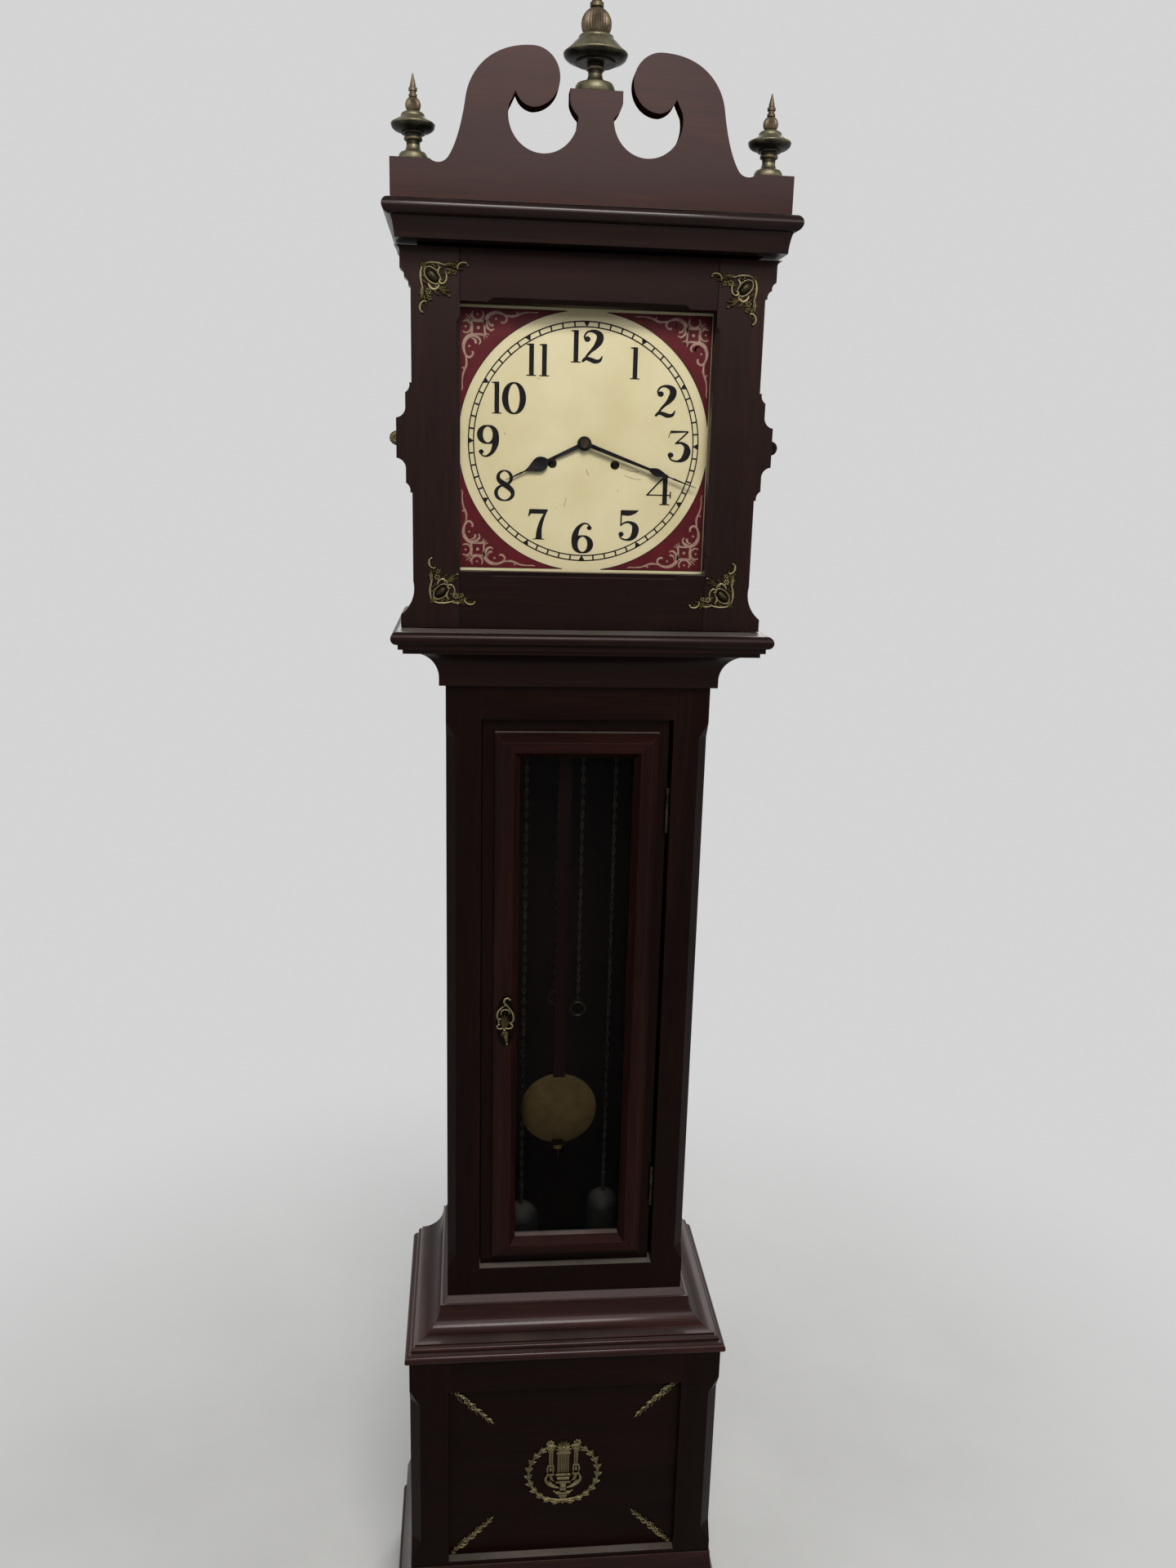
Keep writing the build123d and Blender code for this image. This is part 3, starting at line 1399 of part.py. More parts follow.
def free_chain(side, ring_z):
    """Add the free end of a chain, over its sprocket and down to its ring."""
    low = ring_z + ring_r + chain_r + chain_clear
    inner, outer, middle = side * chain_in, side * chain_out, side * winding_x
    with BuildSketch(Plane.XY.offset(low)) as section:
        with Locations((inner, y_chain)):
            Circle(chain_r)
    with BuildLine() as path:
        Line((inner, y_chain, low), (inner, y_chain, z_winding))
        ThreePointArc(
            (inner, y_chain, z_winding),
            (middle, y_chain, z_winding + sprocket_r),
            (outer, y_chain, z_winding),
        )
    sweep(section.sketch, path=path.wire())


def pull_ring(x, z):
    """Add the ring on a chain's free end."""
    with BuildSketch(Plane(origin=(x + ring_r, y_chain, z), z_dir=(0, 0, 1))) as section:
        Circle(chain_r)
    revolve(section.sketch, axis=Axis((x, y_chain, z), (0, 1, 0)))


for side, name, top, ring_z in (
    (-1, "left", left_weight_top, left_ring_z),
    (1, "right", right_weight_top, right_ring_z),
):
    with BuildPart() as weight_body:
        weight(side * chain_out, top)
    save(weight_body, f"{name}_weight")
    with BuildPart() as weight_chain:
        post(side * chain_out, y_chain, chain_r, (top + weight_stem, z_winding))
    save(weight_chain, f"{name}_weight_chain")
    with BuildPart() as free_end:
        free_chain(side, ring_z)
    save(free_end, f"{name}_free_chain")
    with BuildPart() as ring:
        pull_ring(side * chain_in, ring_z)
    save(ring, f"{name}_pull_ring")

# Strike hammer hanging beside the gong rod
head_r = 6.0
head_l = 14.0
arm_half = 1.5
gong_gap = 1.0
with BuildPart() as strike_hammer:
    x, y, z = hammer_at
    with BuildSketch(Plane.YZ.offset(x - hammer_hub_w / 2)):
        with Locations((y, z)):
            Circle(hammer_hub_r)
    extrude(amount=hammer_hub_w)
    slab((x - arm_half, x + arm_half), (y - arm_half, y + arm_half), (z - hammer_drop, z))
    rod(x, z - hammer_drop, head_r, (y - head_l / 2, y + head_l / 2))
    with BuildSketch(Plane.YZ.offset(x - hammer_hub_w / 2)):
        with Locations((y, z)):
            Circle(hammer_pin_r + running)
    extrude(amount=hammer_hub_w, mode=Mode.SUBTRACT)
save(strike_hammer, "strike_hammer")

gong_block_w = 45.0
gong_block_h = 22.0
gong_pitch = 18.0  # between the two rods
gong_rise = 12.0  # block above the hammer's head
hub_clear = 1.0
with BuildPart() as strike_gong:
    x, y, z = hammer_at
    gong_y = y + head_l / 2 + gong_gap + gong_r
    block_low = z - hammer_drop + head_r + gong_rise
    slab(
        (x - gong_block_w * 2 / 3, x + gong_block_w / 3),
        (y + hammer_hub_r + hub_clear, y_inner),
        (block_low, block_low + gong_block_h),
    )
    for across in (0, -gong_pitch):
        post(x + across, gong_y, gong_r, (block_low - gong_drop, block_low))
save(strike_gong, "strike_gong")
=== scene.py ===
import math

import bmesh
import bpy
import numpy as np
from mathutils import Matrix, Vector


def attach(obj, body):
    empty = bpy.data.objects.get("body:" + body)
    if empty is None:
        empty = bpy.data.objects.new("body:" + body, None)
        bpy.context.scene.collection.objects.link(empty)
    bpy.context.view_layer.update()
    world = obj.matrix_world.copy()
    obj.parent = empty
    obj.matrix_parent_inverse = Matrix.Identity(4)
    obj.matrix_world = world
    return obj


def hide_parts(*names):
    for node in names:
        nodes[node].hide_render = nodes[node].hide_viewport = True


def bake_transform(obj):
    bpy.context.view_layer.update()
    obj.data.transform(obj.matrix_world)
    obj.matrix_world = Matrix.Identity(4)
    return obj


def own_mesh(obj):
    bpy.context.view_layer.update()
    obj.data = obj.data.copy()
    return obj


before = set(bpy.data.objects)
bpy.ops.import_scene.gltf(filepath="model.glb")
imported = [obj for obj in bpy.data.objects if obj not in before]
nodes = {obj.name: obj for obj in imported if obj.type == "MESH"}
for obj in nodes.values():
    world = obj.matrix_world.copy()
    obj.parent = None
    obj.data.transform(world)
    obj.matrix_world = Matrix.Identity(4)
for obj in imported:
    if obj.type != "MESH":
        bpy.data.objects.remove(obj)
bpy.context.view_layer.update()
scene = bpy.context.scene
MM = 0.001

# Places in the shared frame, in millimetres
DIAL_Y, DIAL_Z = -62.0, 1792.0
HOOD_Y = -96.0
PANEL_Y, PANEL_Z = -116.0, 361.5
SPROCKET_Z = 1768.0
CHAIN_Y = 9.0
DOOR_Z = 1064.0
KEYHOLE_X, KEYHOLE_Y, KEYHOLE_Z = -88.6, -89.0, 1053.0
FINIAL_Y = -92.0
WEIGHT_X, PULL_X = 60.0, 16.0

# Camera at the photograph's viewpoint
YAW, PITCH, ROLL = (math.radians(a) for a in (5.7, -14.2, 1.5))
EYE = (-0.136, -1.579, 1.756)
FOCAL_PX, FRAME_PX, SENSOR_MM = 1496.1, 1920.0, 36.0


def make_camera():
    ahead = Vector((math.sin(YAW) * math.cos(PITCH), math.cos(YAW) * math.cos(PITCH), math.sin(PITCH)))
    level = Vector((math.cos(YAW), -math.sin(YAW), 0.0))
    upward = level.cross(ahead)
    right = level * math.cos(ROLL) + upward * math.sin(ROLL)
    top = upward * math.cos(ROLL) - level * math.sin(ROLL)
    data = bpy.data.cameras.new("photo_camera")
    data.sensor_fit = "VERTICAL"
    data.sensor_height = SENSOR_MM
    data.lens = SENSOR_MM * FOCAL_PX / FRAME_PX
    data.clip_end = 60.0
    camera = bpy.data.objects.new("photo_camera", data)
    turn = Matrix((right, top, -ahead)).transposed().to_4x4()
    camera.matrix_world = Matrix.Translation(EYE) @ turn
    scene.collection.objects.link(camera)
    scene.camera = camera


make_camera()


# Materials
BUMP_DEPTH = 0.0002


class Shade:
    """A Principled material whose nodes are added through short calls."""

    def __init__(self, name, sockets):
        self.mat = bpy.data.materials.new(name)
        self.mat.use_nodes = True
        self.tree = self.mat.node_tree
        self.bsdf = self.tree.nodes["Principled BSDF"]
        for key, value in sockets.items():
            self.feed(self.bsdf.inputs[key], value)

    def feed(self, socket, value):
        if isinstance(value, bpy.types.NodeSocket):
            self.tree.links.new(value, socket)
        else:
            socket.default_value = value

    def add(self, kind, inputs=None, out=0, **settings):
        node = self.tree.nodes.new("ShaderNode" + kind)
        for key, value in settings.items():
            setattr(node, key, value)
        for key, value in (inputs or {}).items():
            self.feed(node.inputs[key], value)
        return node.outputs[out]

    def place(self):
        return self.add("TexCoord", out="Object")

    def scaled(self, vector, scale):
        return self.add("VectorMath", {0: vector, 1: scale}, operation="MULTIPLY")

    def noise(self, vector, scale, detail=3.0, rough=0.55, bend=0.0):
        return self.add("TexNoise", {
            "Vector": vector, "Scale": scale, "Detail": detail, "Roughness": rough, "Distortion": bend,
        })

    def span(self, value, low, high, to_low=0.0, to_high=1.0):
        return self.add("MapRange", {
            "Value": value, "From Min": low, "From Max": high, "To Min": to_low, "To Max": to_high,
        })

    def maths(self, operation, first, second=0.0):
        return self.add("Math", {0: first, 1: second}, operation=operation)

    def times(self, first, second):
        return self.maths("MULTIPLY", first, second)

    def share(self, first, part, second):
        """A sum that gives the first its part and the second the rest."""
        return self.maths("ADD", self.times(first, part), self.times(second, 1.0 - part))

    def mix(self, share, first, second):
        return self.add("MixRGB", {"Fac": share, "Color1": first, "Color2": second})

    def ramp(self, share, stops):
        node = self.tree.nodes.new("ShaderNodeValToRGB")
        self.feed(node.inputs[0], share)
        band = node.color_ramp.elements
        while len(band) < len(stops):
            band.new(0.5)
        for point, (where, colour) in zip(band, stops):
            point.position = where
            point.color = colour
        return node.outputs[0]

    def set(self, key, value):
        self.feed(self.bsdf.inputs[key], value)

    def bump(self, height, strength, normal=None):
        inputs = {"Strength": strength, "Distance": BUMP_DEPTH, "Height": height}
        if normal is not None:
            inputs["Normal"] = normal
        self.set("Normal", self.add("Bump", inputs))

    def part(self, vector, axis):
        return self.add("SeparateXYZ", {0: vector}, out=axis)

    def facing(self, axis):
        """How far a face looks along a world axis."""
        return self.part(self.add("NewGeometry", out="True Normal"), axis)

    def ledge(self, patches, low=0.9):
        """How much dust, with painted light from above, lies on a face: none unless it looks up."""
        level = self.span(self.facing(2), low, 0.995)
        return self.times(level, self.span(patches, 0.3, 0.7, 0.22, 0.55))


def rgb(*screen):
    """A colour given as 0 to 255 screen values, in linear light."""
    shares = (v / 255.0 for v in screen)
    return tuple(v / 12.92 if v <= 0.04045 else ((v + 0.055) / 1.055) ** 2.4 for v in shares) + (1.0,)


def toned(colour, factor, lift=0.0):
    return tuple(min(1.0, c * factor + lift) for c in colour[:3]) + (1.0,)


# Dark, middle and light tones of each timber, and where they lie in its figure
DARK_WOOD = (rgb(10, 4, 4), rgb(16, 7, 5), rgb(25, 11, 8))
BEAD_WOOD = (rgb(14, 5, 4), rgb(23, 9, 7), rgb(36, 15, 11))
MOULD_WOOD = (rgb(20, 8, 6), rgb(32, 13, 10), rgb(48, 21, 15))
ROD_WOOD = (rgb(9, 4, 4), rgb(15, 6, 5), rgb(22, 10, 7))
# Inside the case the timber is darkened: painted shade.
SHADED_INNER_WOOD = (rgb(7, 5, 4), rgb(11, 8, 6), rgb(18, 12, 9))
BACK_WOOD = (rgb(34, 23, 16), rgb(50, 35, 25), rgb(68, 49, 36))
TONE_STOPS = (0.32, 0.5, 0.68)
# Pale colour that faces looking up are mixed toward: dust, and painted light from above.
DUST_AND_TOP_LIGHT = rgb(128, 118, 110)
WARM_SHEEN = (1.0, 0.68, 0.64, 1.0)


def stretched(shade, at, along, squeeze):
    """Object coordinates drawn out along the grain; the grain may change over the piece."""
    def one(axis):
        scale = [1, 1, 1]
        scale[axis] = squeeze
        return shade.scaled(at, scale)

    if isinstance(along, int):
        return one(along)
    share, first, second = along(shade, at)
    return shade.mix(share, one(first), one(second))


def by_face(shade, at):
    """Front lengths run across, side lengths run back."""
    across, back = (shade.maths("ABSOLUTE", shade.facing(axis)) for axis in (0, 1))
    return shade.maths("GREATER_THAN", across, back), 0, 1


def by_mitre(half_wide, half_high):
    """Uprights of the trunk door run up, the lengths over and under its opening run across."""
    def pick(shade, at):
        aside = shade.maths("SUBTRACT", shade.maths("ABSOLUTE", shade.part(at, 0)), half_wide)
        rise = shade.maths("ABSOLUTE", shade.maths("SUBTRACT", shade.part(at, 2), DOOR_Z * MM))
        return shade.maths("GREATER_THAN", aside, shade.maths("SUBTRACT", rise, half_high)), 0, 2

    return pick


def wood(name, along, tones, rough=(0.3, 0.44), polish=0.04, finished=True, back=None, shine=0.1,
         edges_shaded=False, dust_and_light=1):
    """Timber with a broad figure and fine grain; a finished face has dark pores and paler rubbed edges.

    Faces that look backward take the back's tones where they are given. A board with shaded edges is polished
    only on its front and back, so its edge faces show no reflection: painted shade.
    """
    s = Shade(name, {"Specular Tint": WARM_SHEEN, "Coat Roughness": 0.12})
    # Painted shade: faces that look neither forward nor back lose polish and sheen, so the board's edges stay dark.
    if edges_shaded:
        broad = s.span(s.maths("ABSOLUTE", s.facing(1)), 0.5, 0.9)
        polish, shine = s.times(broad, polish), s.times(broad, shine)
    s.set("Coat Weight", polish)
    s.set("Specular IOR Level", shine)
    at = s.place()
    figure = s.noise(stretched(s, at, along, 0.12), 18, 3, 0.55, 0.6)
    grain = s.noise(stretched(s, at, along, 0.05), 260, 4, 0.6, 0.2)
    tone = s.share(figure, 0.6, grain)
    colour = s.ramp(tone, list(zip(TONE_STOPS, tones)))
    if back is not None:
        raw = s.ramp(tone, list(zip(TONE_STOPS, back)))
        colour = s.mix(s.span(s.facing(1), 0.4, 0.6), colour, raw)
    haze = s.noise(at, 9, 4, 0.65)
    if finished:
        pores = s.noise(stretched(s, at, along, 0.03), 1100, 2, 0.5)
        pore = s.span(pores, 0.6, 0.72, 0, 0.45)
        colour = s.mix(pore, colour, toned(tones[0], 0.35))
        eased = s.add("Bevel", {"Radius": 0.0012}, samples=4)
        flat = s.add("NewGeometry", out="True Normal")
        facing = s.add("VectorMath", {0: eased, 1: flat}, out="Value", operation="DOT_PRODUCT")
        rub = s.noise(at, 35, 3, 0.6)
        edge = s.times(s.span(facing, 0.99, 0.8, 0, 0.4), s.span(rub, 0.35, 0.6))
        colour = s.mix(edge, colour, toned(tones[2], 2.6, 0.01))
        s.bump(s.maths("SUBTRACT", s.times(grain, 0.5), pore), 0.14, eased)
    # Faces that look up are mixed toward a pale colour: dust, and painted light from above.
    s.set("Base Color", s.mix(s.times(s.ledge(haze), dust_and_light), colour, DUST_AND_TOP_LIGHT))
    s.set("Roughness", s.span(s.share(grain, 0.5, haze), 0.35, 0.65, *rough))
    return s.mat


def brass(name, bright, dull, crest=False, rough=(0.3, 0.52), turned=None):
    """Old brass: brown bloom over the metal, rubbed bright on raised parts."""
    s = Shade(name, {"Metallic": 1.0})
    at = s.place()
    cloud = s.noise(at, 60, 5, 0.65)
    fleck = s.noise(at, 420, 3, 0.6)
    share = s.share(cloud, 0.7, fleck)
    if crest:
        raised = s.add("Attribute", out="Fac", attribute_name="crest")
        share = s.maths("ADD", s.span(share, 0.3, 0.7, -0.25, 0.25), raised)
        colour = s.ramp(share, [(0.1, toned(dull, 0.3)), (0.5, dull), (0.95, bright)])
    else:
        colour = s.ramp(share, [(0.36, dull), (0.62, bright)])
    s.set("Base Color", colour)
    s.set("Roughness", s.span(cloud, 0.3, 0.7, *rough))
    height = fleck
    if turned is not None:
        away = s.scaled(s.add("VectorMath", {0: at, 1: turned}, operation="SUBTRACT"), (1, 0, 1))
        reach = s.add("VectorMath", {0: away}, out="Value", operation="LENGTH")
        height = s.noise(s.add("CombineXYZ", {0: reach}), 2600, 2, 0.5)
    s.bump(height, 0.12)
    return s.mat


def metal(name, light, dark, rough):
    s = Shade(name, {"Metallic": 1.0})
    at = s.place()
    cloud = s.noise(at, 90, 5, 0.65)
    s.set("Base Color", s.ramp(cloud, [(0.35, dark), (0.65, light)]))
    s.set("Roughness", s.span(cloud, 0.3, 0.7, *rough))
    s.bump(s.noise(at, 700, 3), 0.1)
    return s.mat


def paint(name, base, aged, rough, fleck=None, scale=14, shine=0.35, dusty_lit_top=False):
    """Old paint, a little clouded, with sparse flecks where given, and dust and painted top light on level faces."""
    s = Shade(name, {"Specular IOR Level": shine})
    at = s.place()
    cloud = s.noise(at, scale, 5, 0.6)
    colour = s.ramp(cloud, [(0.35, base), (0.7, aged)])
    if fleck is not None:
        spots = s.noise(at, 320, 2, 0.5)
        colour = s.mix(s.span(spots, 0.74, 0.79, 0, 0.6), colour, fleck)
    # Level faces are mixed toward a pale colour: dust, and painted light from above.
    if dusty_lit_top:
        colour = s.mix(s.times(s.ledge(cloud, 0.5), 0.4), colour, DUST_AND_TOP_LIGHT)
    s.set("Base Color", colour)
    s.set("Roughness", s.span(cloud, 0.3, 0.7, *rough))
    s.bump(s.noise(at, 500, 3), 0.05)
    return s.mat


def glazing(name):
    """Thin clear glass that lets lamps through; it turns mirror-like at a slant, and is faintly smeared."""
    s = Shade(name, {"Base Color": (0.01, 0.012, 0.012, 1), "IOR": 1.5, "Specular IOR Level": 0.5})
    at = s.place()
    smear = s.noise(s.scaled(at, (1, 1, 0.5)), 7, 5, 0.6)
    slant = s.add("LayerWeight", {"Blend": 0.22}, out="Fresnel")
    s.set("Alpha", s.maths("ADD", s.times(slant, 0.5), s.span(smear, 0.3, 0.75, 0.005, 0.02)))
    s.set("Roughness", s.span(smear, 0.3, 0.7, 0.02, 0.07))
    return s.mat


def dress(material, names):
    """Put a material on solids."""
    for name in names.split():
        for slot in nodes[name].material_slots:
            slot.material = material
    return material


# The trunk and base take the hood's wood with less polish and sheen, so they read darker: painted shade.
TRUNK_SHADE_SHEEN = {"polish": 0.02, "shine": 0.05}
RAW_FINISH = {"rough": (0.5, 0.7), "polish": 0, "finished": False}
dress(wood("mahogany_upright", 2, DARK_WOOD, **TRUNK_SHADE_SHEEN), "base_posts base_sides trunk_posts trunk_sides")
across = dress(wood("mahogany_across", 0, DARK_WOOD, **TRUNK_SHADE_SHEEN), "base_rails base_panel trunk_rails")
# The hood carries more sheen than the trunk, of the same wood: painted light.
dress(wood("mahogany_hood_upright", 2, DARK_WOOD, shine=0.14), "hood_sides hood_door_stiles")
dress(wood("mahogany_hood_across", 0, DARK_WOOD), "hood_door_rails")
dress(
    wood("mahogany_running", by_face, MOULD_WOOD, polish=0.13, dust_and_light=0.35),
    "plinth_skirt base_moulding waist_moulding",
)
# The shoulder and cornice take darker tones than the other mouldings, and the cornice less sheen: painted shade
# under the hood and in the cornice's cove.
dress(wood("mahogany_shaded", by_face, DARK_WOOD), "shoulder_moulding")
dress(wood("mahogany_cornice", by_face, DARK_WOOD, polish=0.2, shine=0.06), "cornice_moulding")
dress(wood("mahogany_crest", 0, MOULD_WOOD, (0.26, 0.44), 0.12, edges_shaded=True), "pediment_board finial_blocks")
# The trunk door's flat and bead carry the trunk's low sheen: painted shade.
dress(wood("mahogany_door_flat", by_mitre(0.1046, 0.376), DARK_WOOD, **TRUNK_SHADE_SHEEN), "trunk_door_frame")
dress(wood("mahogany_door_bead", by_mitre(0.0726, 0.344), BEAD_WOOD, shine=0.05), "trunk_door_moulding")
dress(wood("rod_wood", 2, ROD_WOOD, shine=0.05, **RAW_FINISH), "pendulum_rod")
# Boards inside the case take near-black tones: painted shade. The back boards' outer faces keep the raw timber's own
# colour.
dress(wood("inner_upright", 2, SHADED_INNER_WOOD, back=BACK_WOOD, **RAW_FINISH), "back_boards")
dress(wood("inner_across", 0, SHADED_INNER_WOOD, **RAW_FINISH), "base_bottom_board hood_top_board seat_board")
dress(brass("old_brass", rgb(112, 100, 70), rgb(56, 50, 36)), "base_mounts hood_mounts finials")
mount_brass = brass("mount_brass", rgb(118, 108, 78), rgb(48, 43, 31), crest=True, rough=(0.36, 0.54))
rubbed_brass = brass("rubbed_brass", rgb(114, 108, 86), rgb(76, 71, 56), rough=(0.42, 0.6))
gilt_brown = brass("gilt_brown", rgb(104, 92, 74), rgb(66, 57, 46), rough=(0.44, 0.62))
umber = metal("finial_umber", rgb(56, 53, 44), rgb(32, 30, 25), (0.42, 0.58))
dress(metal("lock_iron", rgb(22, 17, 14), rgb(12, 9, 8), (0.5, 0.66)), "door_lock")
BOB_CENTRE = (-0.012, 0, 0.896)
dress(brass("bob_brass", rgb(74, 61, 36), rgb(57, 47, 28), rough=(0.28, 0.42), turned=BOB_CENTRE), "pendulum_bob")
dress(
    brass("train_brass", rgb(196, 164, 96), rgb(150, 120, 66), rough=(0.25, 0.4)),
    "movement_plates plate_pillars hour_wheel minute_wheel third_wheel escape_wheel time_great_wheel",
)
dress(
    metal("dark_bronze", rgb(66, 57, 43), rgb(30, 26, 21), (0.3, 0.5)),
    "case_hinges trunk_door_hinges hood_door_hinges suspension_cock center_arbor left_pull_ring right_pull_ring",
)
chain_metal = dress(
    metal("chain_metal", rgb(62, 59, 52), rgb(32, 30, 27), (0.34, 0.52)),
    "left_weight_chain right_weight_chain left_free_chain right_free_chain",
)
dress(
    metal("steel", rgb(150, 150, 148), rgb(98, 96, 94), (0.28, 0.46)),
    "pallet_anchor pendulum_leader strike_hammer strike_gong",
)
# The weights' level tops are paled: dust, and painted light from above.
dress(
    paint("weight_iron", rgb(26, 25, 24), rgb(18, 17, 16), (0.55, 0.7), rgb(40, 36, 32), 60, 0.12, True),
    "left_weight right_weight",
)
# The time sprocket and strike great wheel take the hands' black so the winding holes read dark: painted shade.
dress(
    metal("hand_black", rgb(40, 38, 38), rgb(18, 17, 18), (0.34, 0.52)),
    "hour_hand minute_hand strike_great_wheel time_sprocket",
)
dress(paint("dial_cream", rgb(206, 195, 156), rgb(196, 183, 140), (0.4, 0.55), rgb(120, 92, 56)), "dial_plate")
crimson = paint("dial_crimson", rgb(84, 13, 21), rgb(68, 9, 16), (0.42, 0.56), scale=40, shine=0.14)
tan = paint("dial_tan", rgb(160, 132, 112), rgb(124, 94, 80), (0.42, 0.56), scale=160)
ink = paint("dial_ink", rgb(30, 28, 27), rgb(20, 18, 18), (0.45, 0.6), scale=60, shine=0.05)
scuff = paint("dial_scuff", rgb(118, 94, 60), rgb(150, 124, 84), (0.5, 0.6), scale=300)
seam = paint("joint_shadow", rgb(6, 4, 4), rgb(10, 6, 5), (0.6, 0.8), scale=90, shine=0.05)
dress(glazing("old_glass"), "hood_glass trunk_glass")


# Pieces
def piece(name, verts, faces, mats, body, crest=None, sharp=38.0, front=False, kinds=None):
    """A mesh from millimetre points that rides on a body; front turns its faces towards the viewer."""
    mesh = bpy.data.meshes.new(name)
    mesh.from_pydata([(x * MM, y * MM, z * MM) for x, y, z in verts], [], [tuple(f) for f in faces])
    for material in mats:
        mesh.materials.append(material)
    if kinds is not None:
        mesh.polygons.foreach_set("material_index", kinds)
    if crest is not None:
        raised = mesh.attributes.new("crest", "FLOAT", "POINT")
        raised.data.foreach_set("value", np.asarray(crest, np.float32))
    if front:
        work = bmesh.new()
        work.from_mesh(mesh)
        work.normal_update()
        bmesh.ops.reverse_faces(work, faces=[f for f in work.faces if f.normal.y > 1e-6])
        work.to_mesh(mesh)
        work.free()
    mesh.shade_smooth()
    mesh.set_sharp_from_angle(angle=math.radians(sharp))
    made = bpy.data.objects.new(name, mesh)
    scene.collection.objects.link(made)
    if body is not None:
        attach(made, body)
    return made


def smooth_path(points, n=12):
    """A smooth line through points."""
    p = np.asarray(points, float)
    p = np.vstack([2 * p[0] - p[1], p, 2 * p[-1] - p[-2]])
    out = []
    for i in range(1, len(p) - 2):
        t = np.linspace(0, 1, n, endpoint=i == len(p) - 3)[:, None]
        a, b, c, d = p[i - 1], p[i], p[i + 1], p[i + 2]
        out.append(0.5 * (2 * b + (c - a) * t + (2 * a - 5 * b + 4 * c - d) * t**2 + (3 * b - a - 3 * c + d) * t**3))
    return np.vstack(out)


def polar(angles, across, up=None):
    """Points about the origin at angles in radians."""
    up = across if up is None else up
    return np.stack([across * np.cos(angles), up * np.sin(angles)], axis=-1)


def leftward(path, closed=False):
    """Unit steps to the left of a path."""
    way = np.gradient(path, axis=0)
    if closed:
        way[0] = way[-1] = path[1] - path[-2]
    way /= np.maximum(np.linalg.norm(way, axis=1), 1e-9)[:, None]
    return np.stack([-way[:, 1], way[:, 0]], axis=1)


def strips(rows, wide, first=0, closed=False):
    """Quads between rows of points; closed joins each row's ends."""
    for i in range(rows - 1):
        for j in range(wide if closed else wide - 1):
            a, b = first + i * wide + j, first + i * wide + (j + 1) % wide
            yield a, b, b + wide, a + wide


# Sections of cast strips: across from -1 to 1, and up from 0 to 1
ROUND = ((-1, 0), (-0.96, 0.5), (-0.62, 0.88), (0, 1), (0.62, 0.88), (0.96, 0.5), (1, 0))
LEAF = ((-1, 0), (-0.92, 0.45), (-0.5, 0.95), (0, 0.62), (0.5, 0.95), (0.92, 0.45), (1, 0))
BAR = ((-1, 0), (-1, 0.8), (-0.82, 1), (0, 1), (0.82, 1), (1, 0.8), (1, 0))


class Relief:
    """Cast ornament gathered into one mesh: points across and up in mm, rising off a flat face."""

    def __init__(self, y):
        self.y = y
        self.verts, self.faces, self.crest = [], [], []
        self.move = lambda p: p

    def ribbon(self, path, half, rise, section=ROUND, base=0.0):
        path = np.asarray(path, float)
        count, wide, first = len(path), len(section), len(self.verts)
        half = np.broadcast_to(np.asarray(half, float), count)
        rise = np.broadcast_to(np.asarray(rise, float), count)
        for at, out, w, h in zip(path, leftward(path), half, rise):
            for aside, up in section:
                x, z = self.move(at + out * w * aside)
                self.verts.append((x, self.y - base - h * up, z))
                self.crest.append(up**0.6)
        self.faces += strips(count, wide, first)
        for row in (0, count - 1):
            self.faces.append([first + row * wide + j for j in range(wide)])

    def dome(self, centre, rx, rz, rise, turn=0.0, base=0.0, rings=5, around=20, tone=1.0):
        first = len(self.verts)
        cos, sin = math.cos(turn), math.sin(turn)
        for i in range(rings + 1):
            tilt = 0.5 * math.pi * i / rings
            for j in range(around):
                u, v = polar(math.tau * j / around, rx, rz) * math.cos(tilt)
                x, z = self.move(np.array([centre[0] + u * cos - v * sin, centre[1] + u * sin + v * cos]))
                self.verts.append((x, self.y - base - rise * math.sin(tilt), z))
                self.crest.append(tone * math.sin(tilt))
        self.faces += strips(rings + 1, around, first, True)

    def leaf(self, start, end, half, rise, bend=0.0, lobes=0, base=0.0, n=18):
        start, end = np.asarray(start, float), np.asarray(end, float)
        t = np.linspace(0, 1, n)
        chord = end - start
        side = np.array([-chord[1], chord[0]])
        path = start + t[:, None] * chord + (np.sin(math.pi * t) * bend)[:, None] * side
        width = half * (np.sin(math.pi * t**0.75) * 0.92 + 0.08)
        if lobes:
            width = width * (0.78 + 0.22 * np.abs(np.sin(math.pi * lobes * t)))
        self.ribbon(path, width, rise * (0.45 + 0.55 * np.sin(math.pi * t)), LEAF, base)

    def flower(self, centre, r, petals, rise, base=0.0, turn=0.0):
        for i in range(petals):
            a = turn + math.tau * i / petals
            self.dome(centre + polar(a, r * 0.58), r * 0.44, r * 0.36, rise * 0.8, a, base, 3, 12)
        self.dome(centre, r * 0.3, r * 0.3, rise * 1.15, 0.0, base, 3, 12)

    def strand(self, points, half, rise, tips=(0, 0)):
        """A smooth ribbon through points, thinned at its ends, with a bead on an end where a size is given."""
        path = smooth_path(points, 8)
        swell = np.sin(math.pi * np.linspace(0, 1, len(path)))
        self.ribbon(path, half * (0.55 + 0.45 * swell), rise * (0.8 + 0.2 * swell))
        for spot, size in zip((path[0], path[-1]), tips):
            if size:
                self.dome(spot, size, size, rise * 1.1, 0, 0, 4, 12)

    def make(self, name, body, slot="aged_brass"):
        return piece(name, self.verts, self.faces, [mount_brass], body, self.crest, 55.0, True)


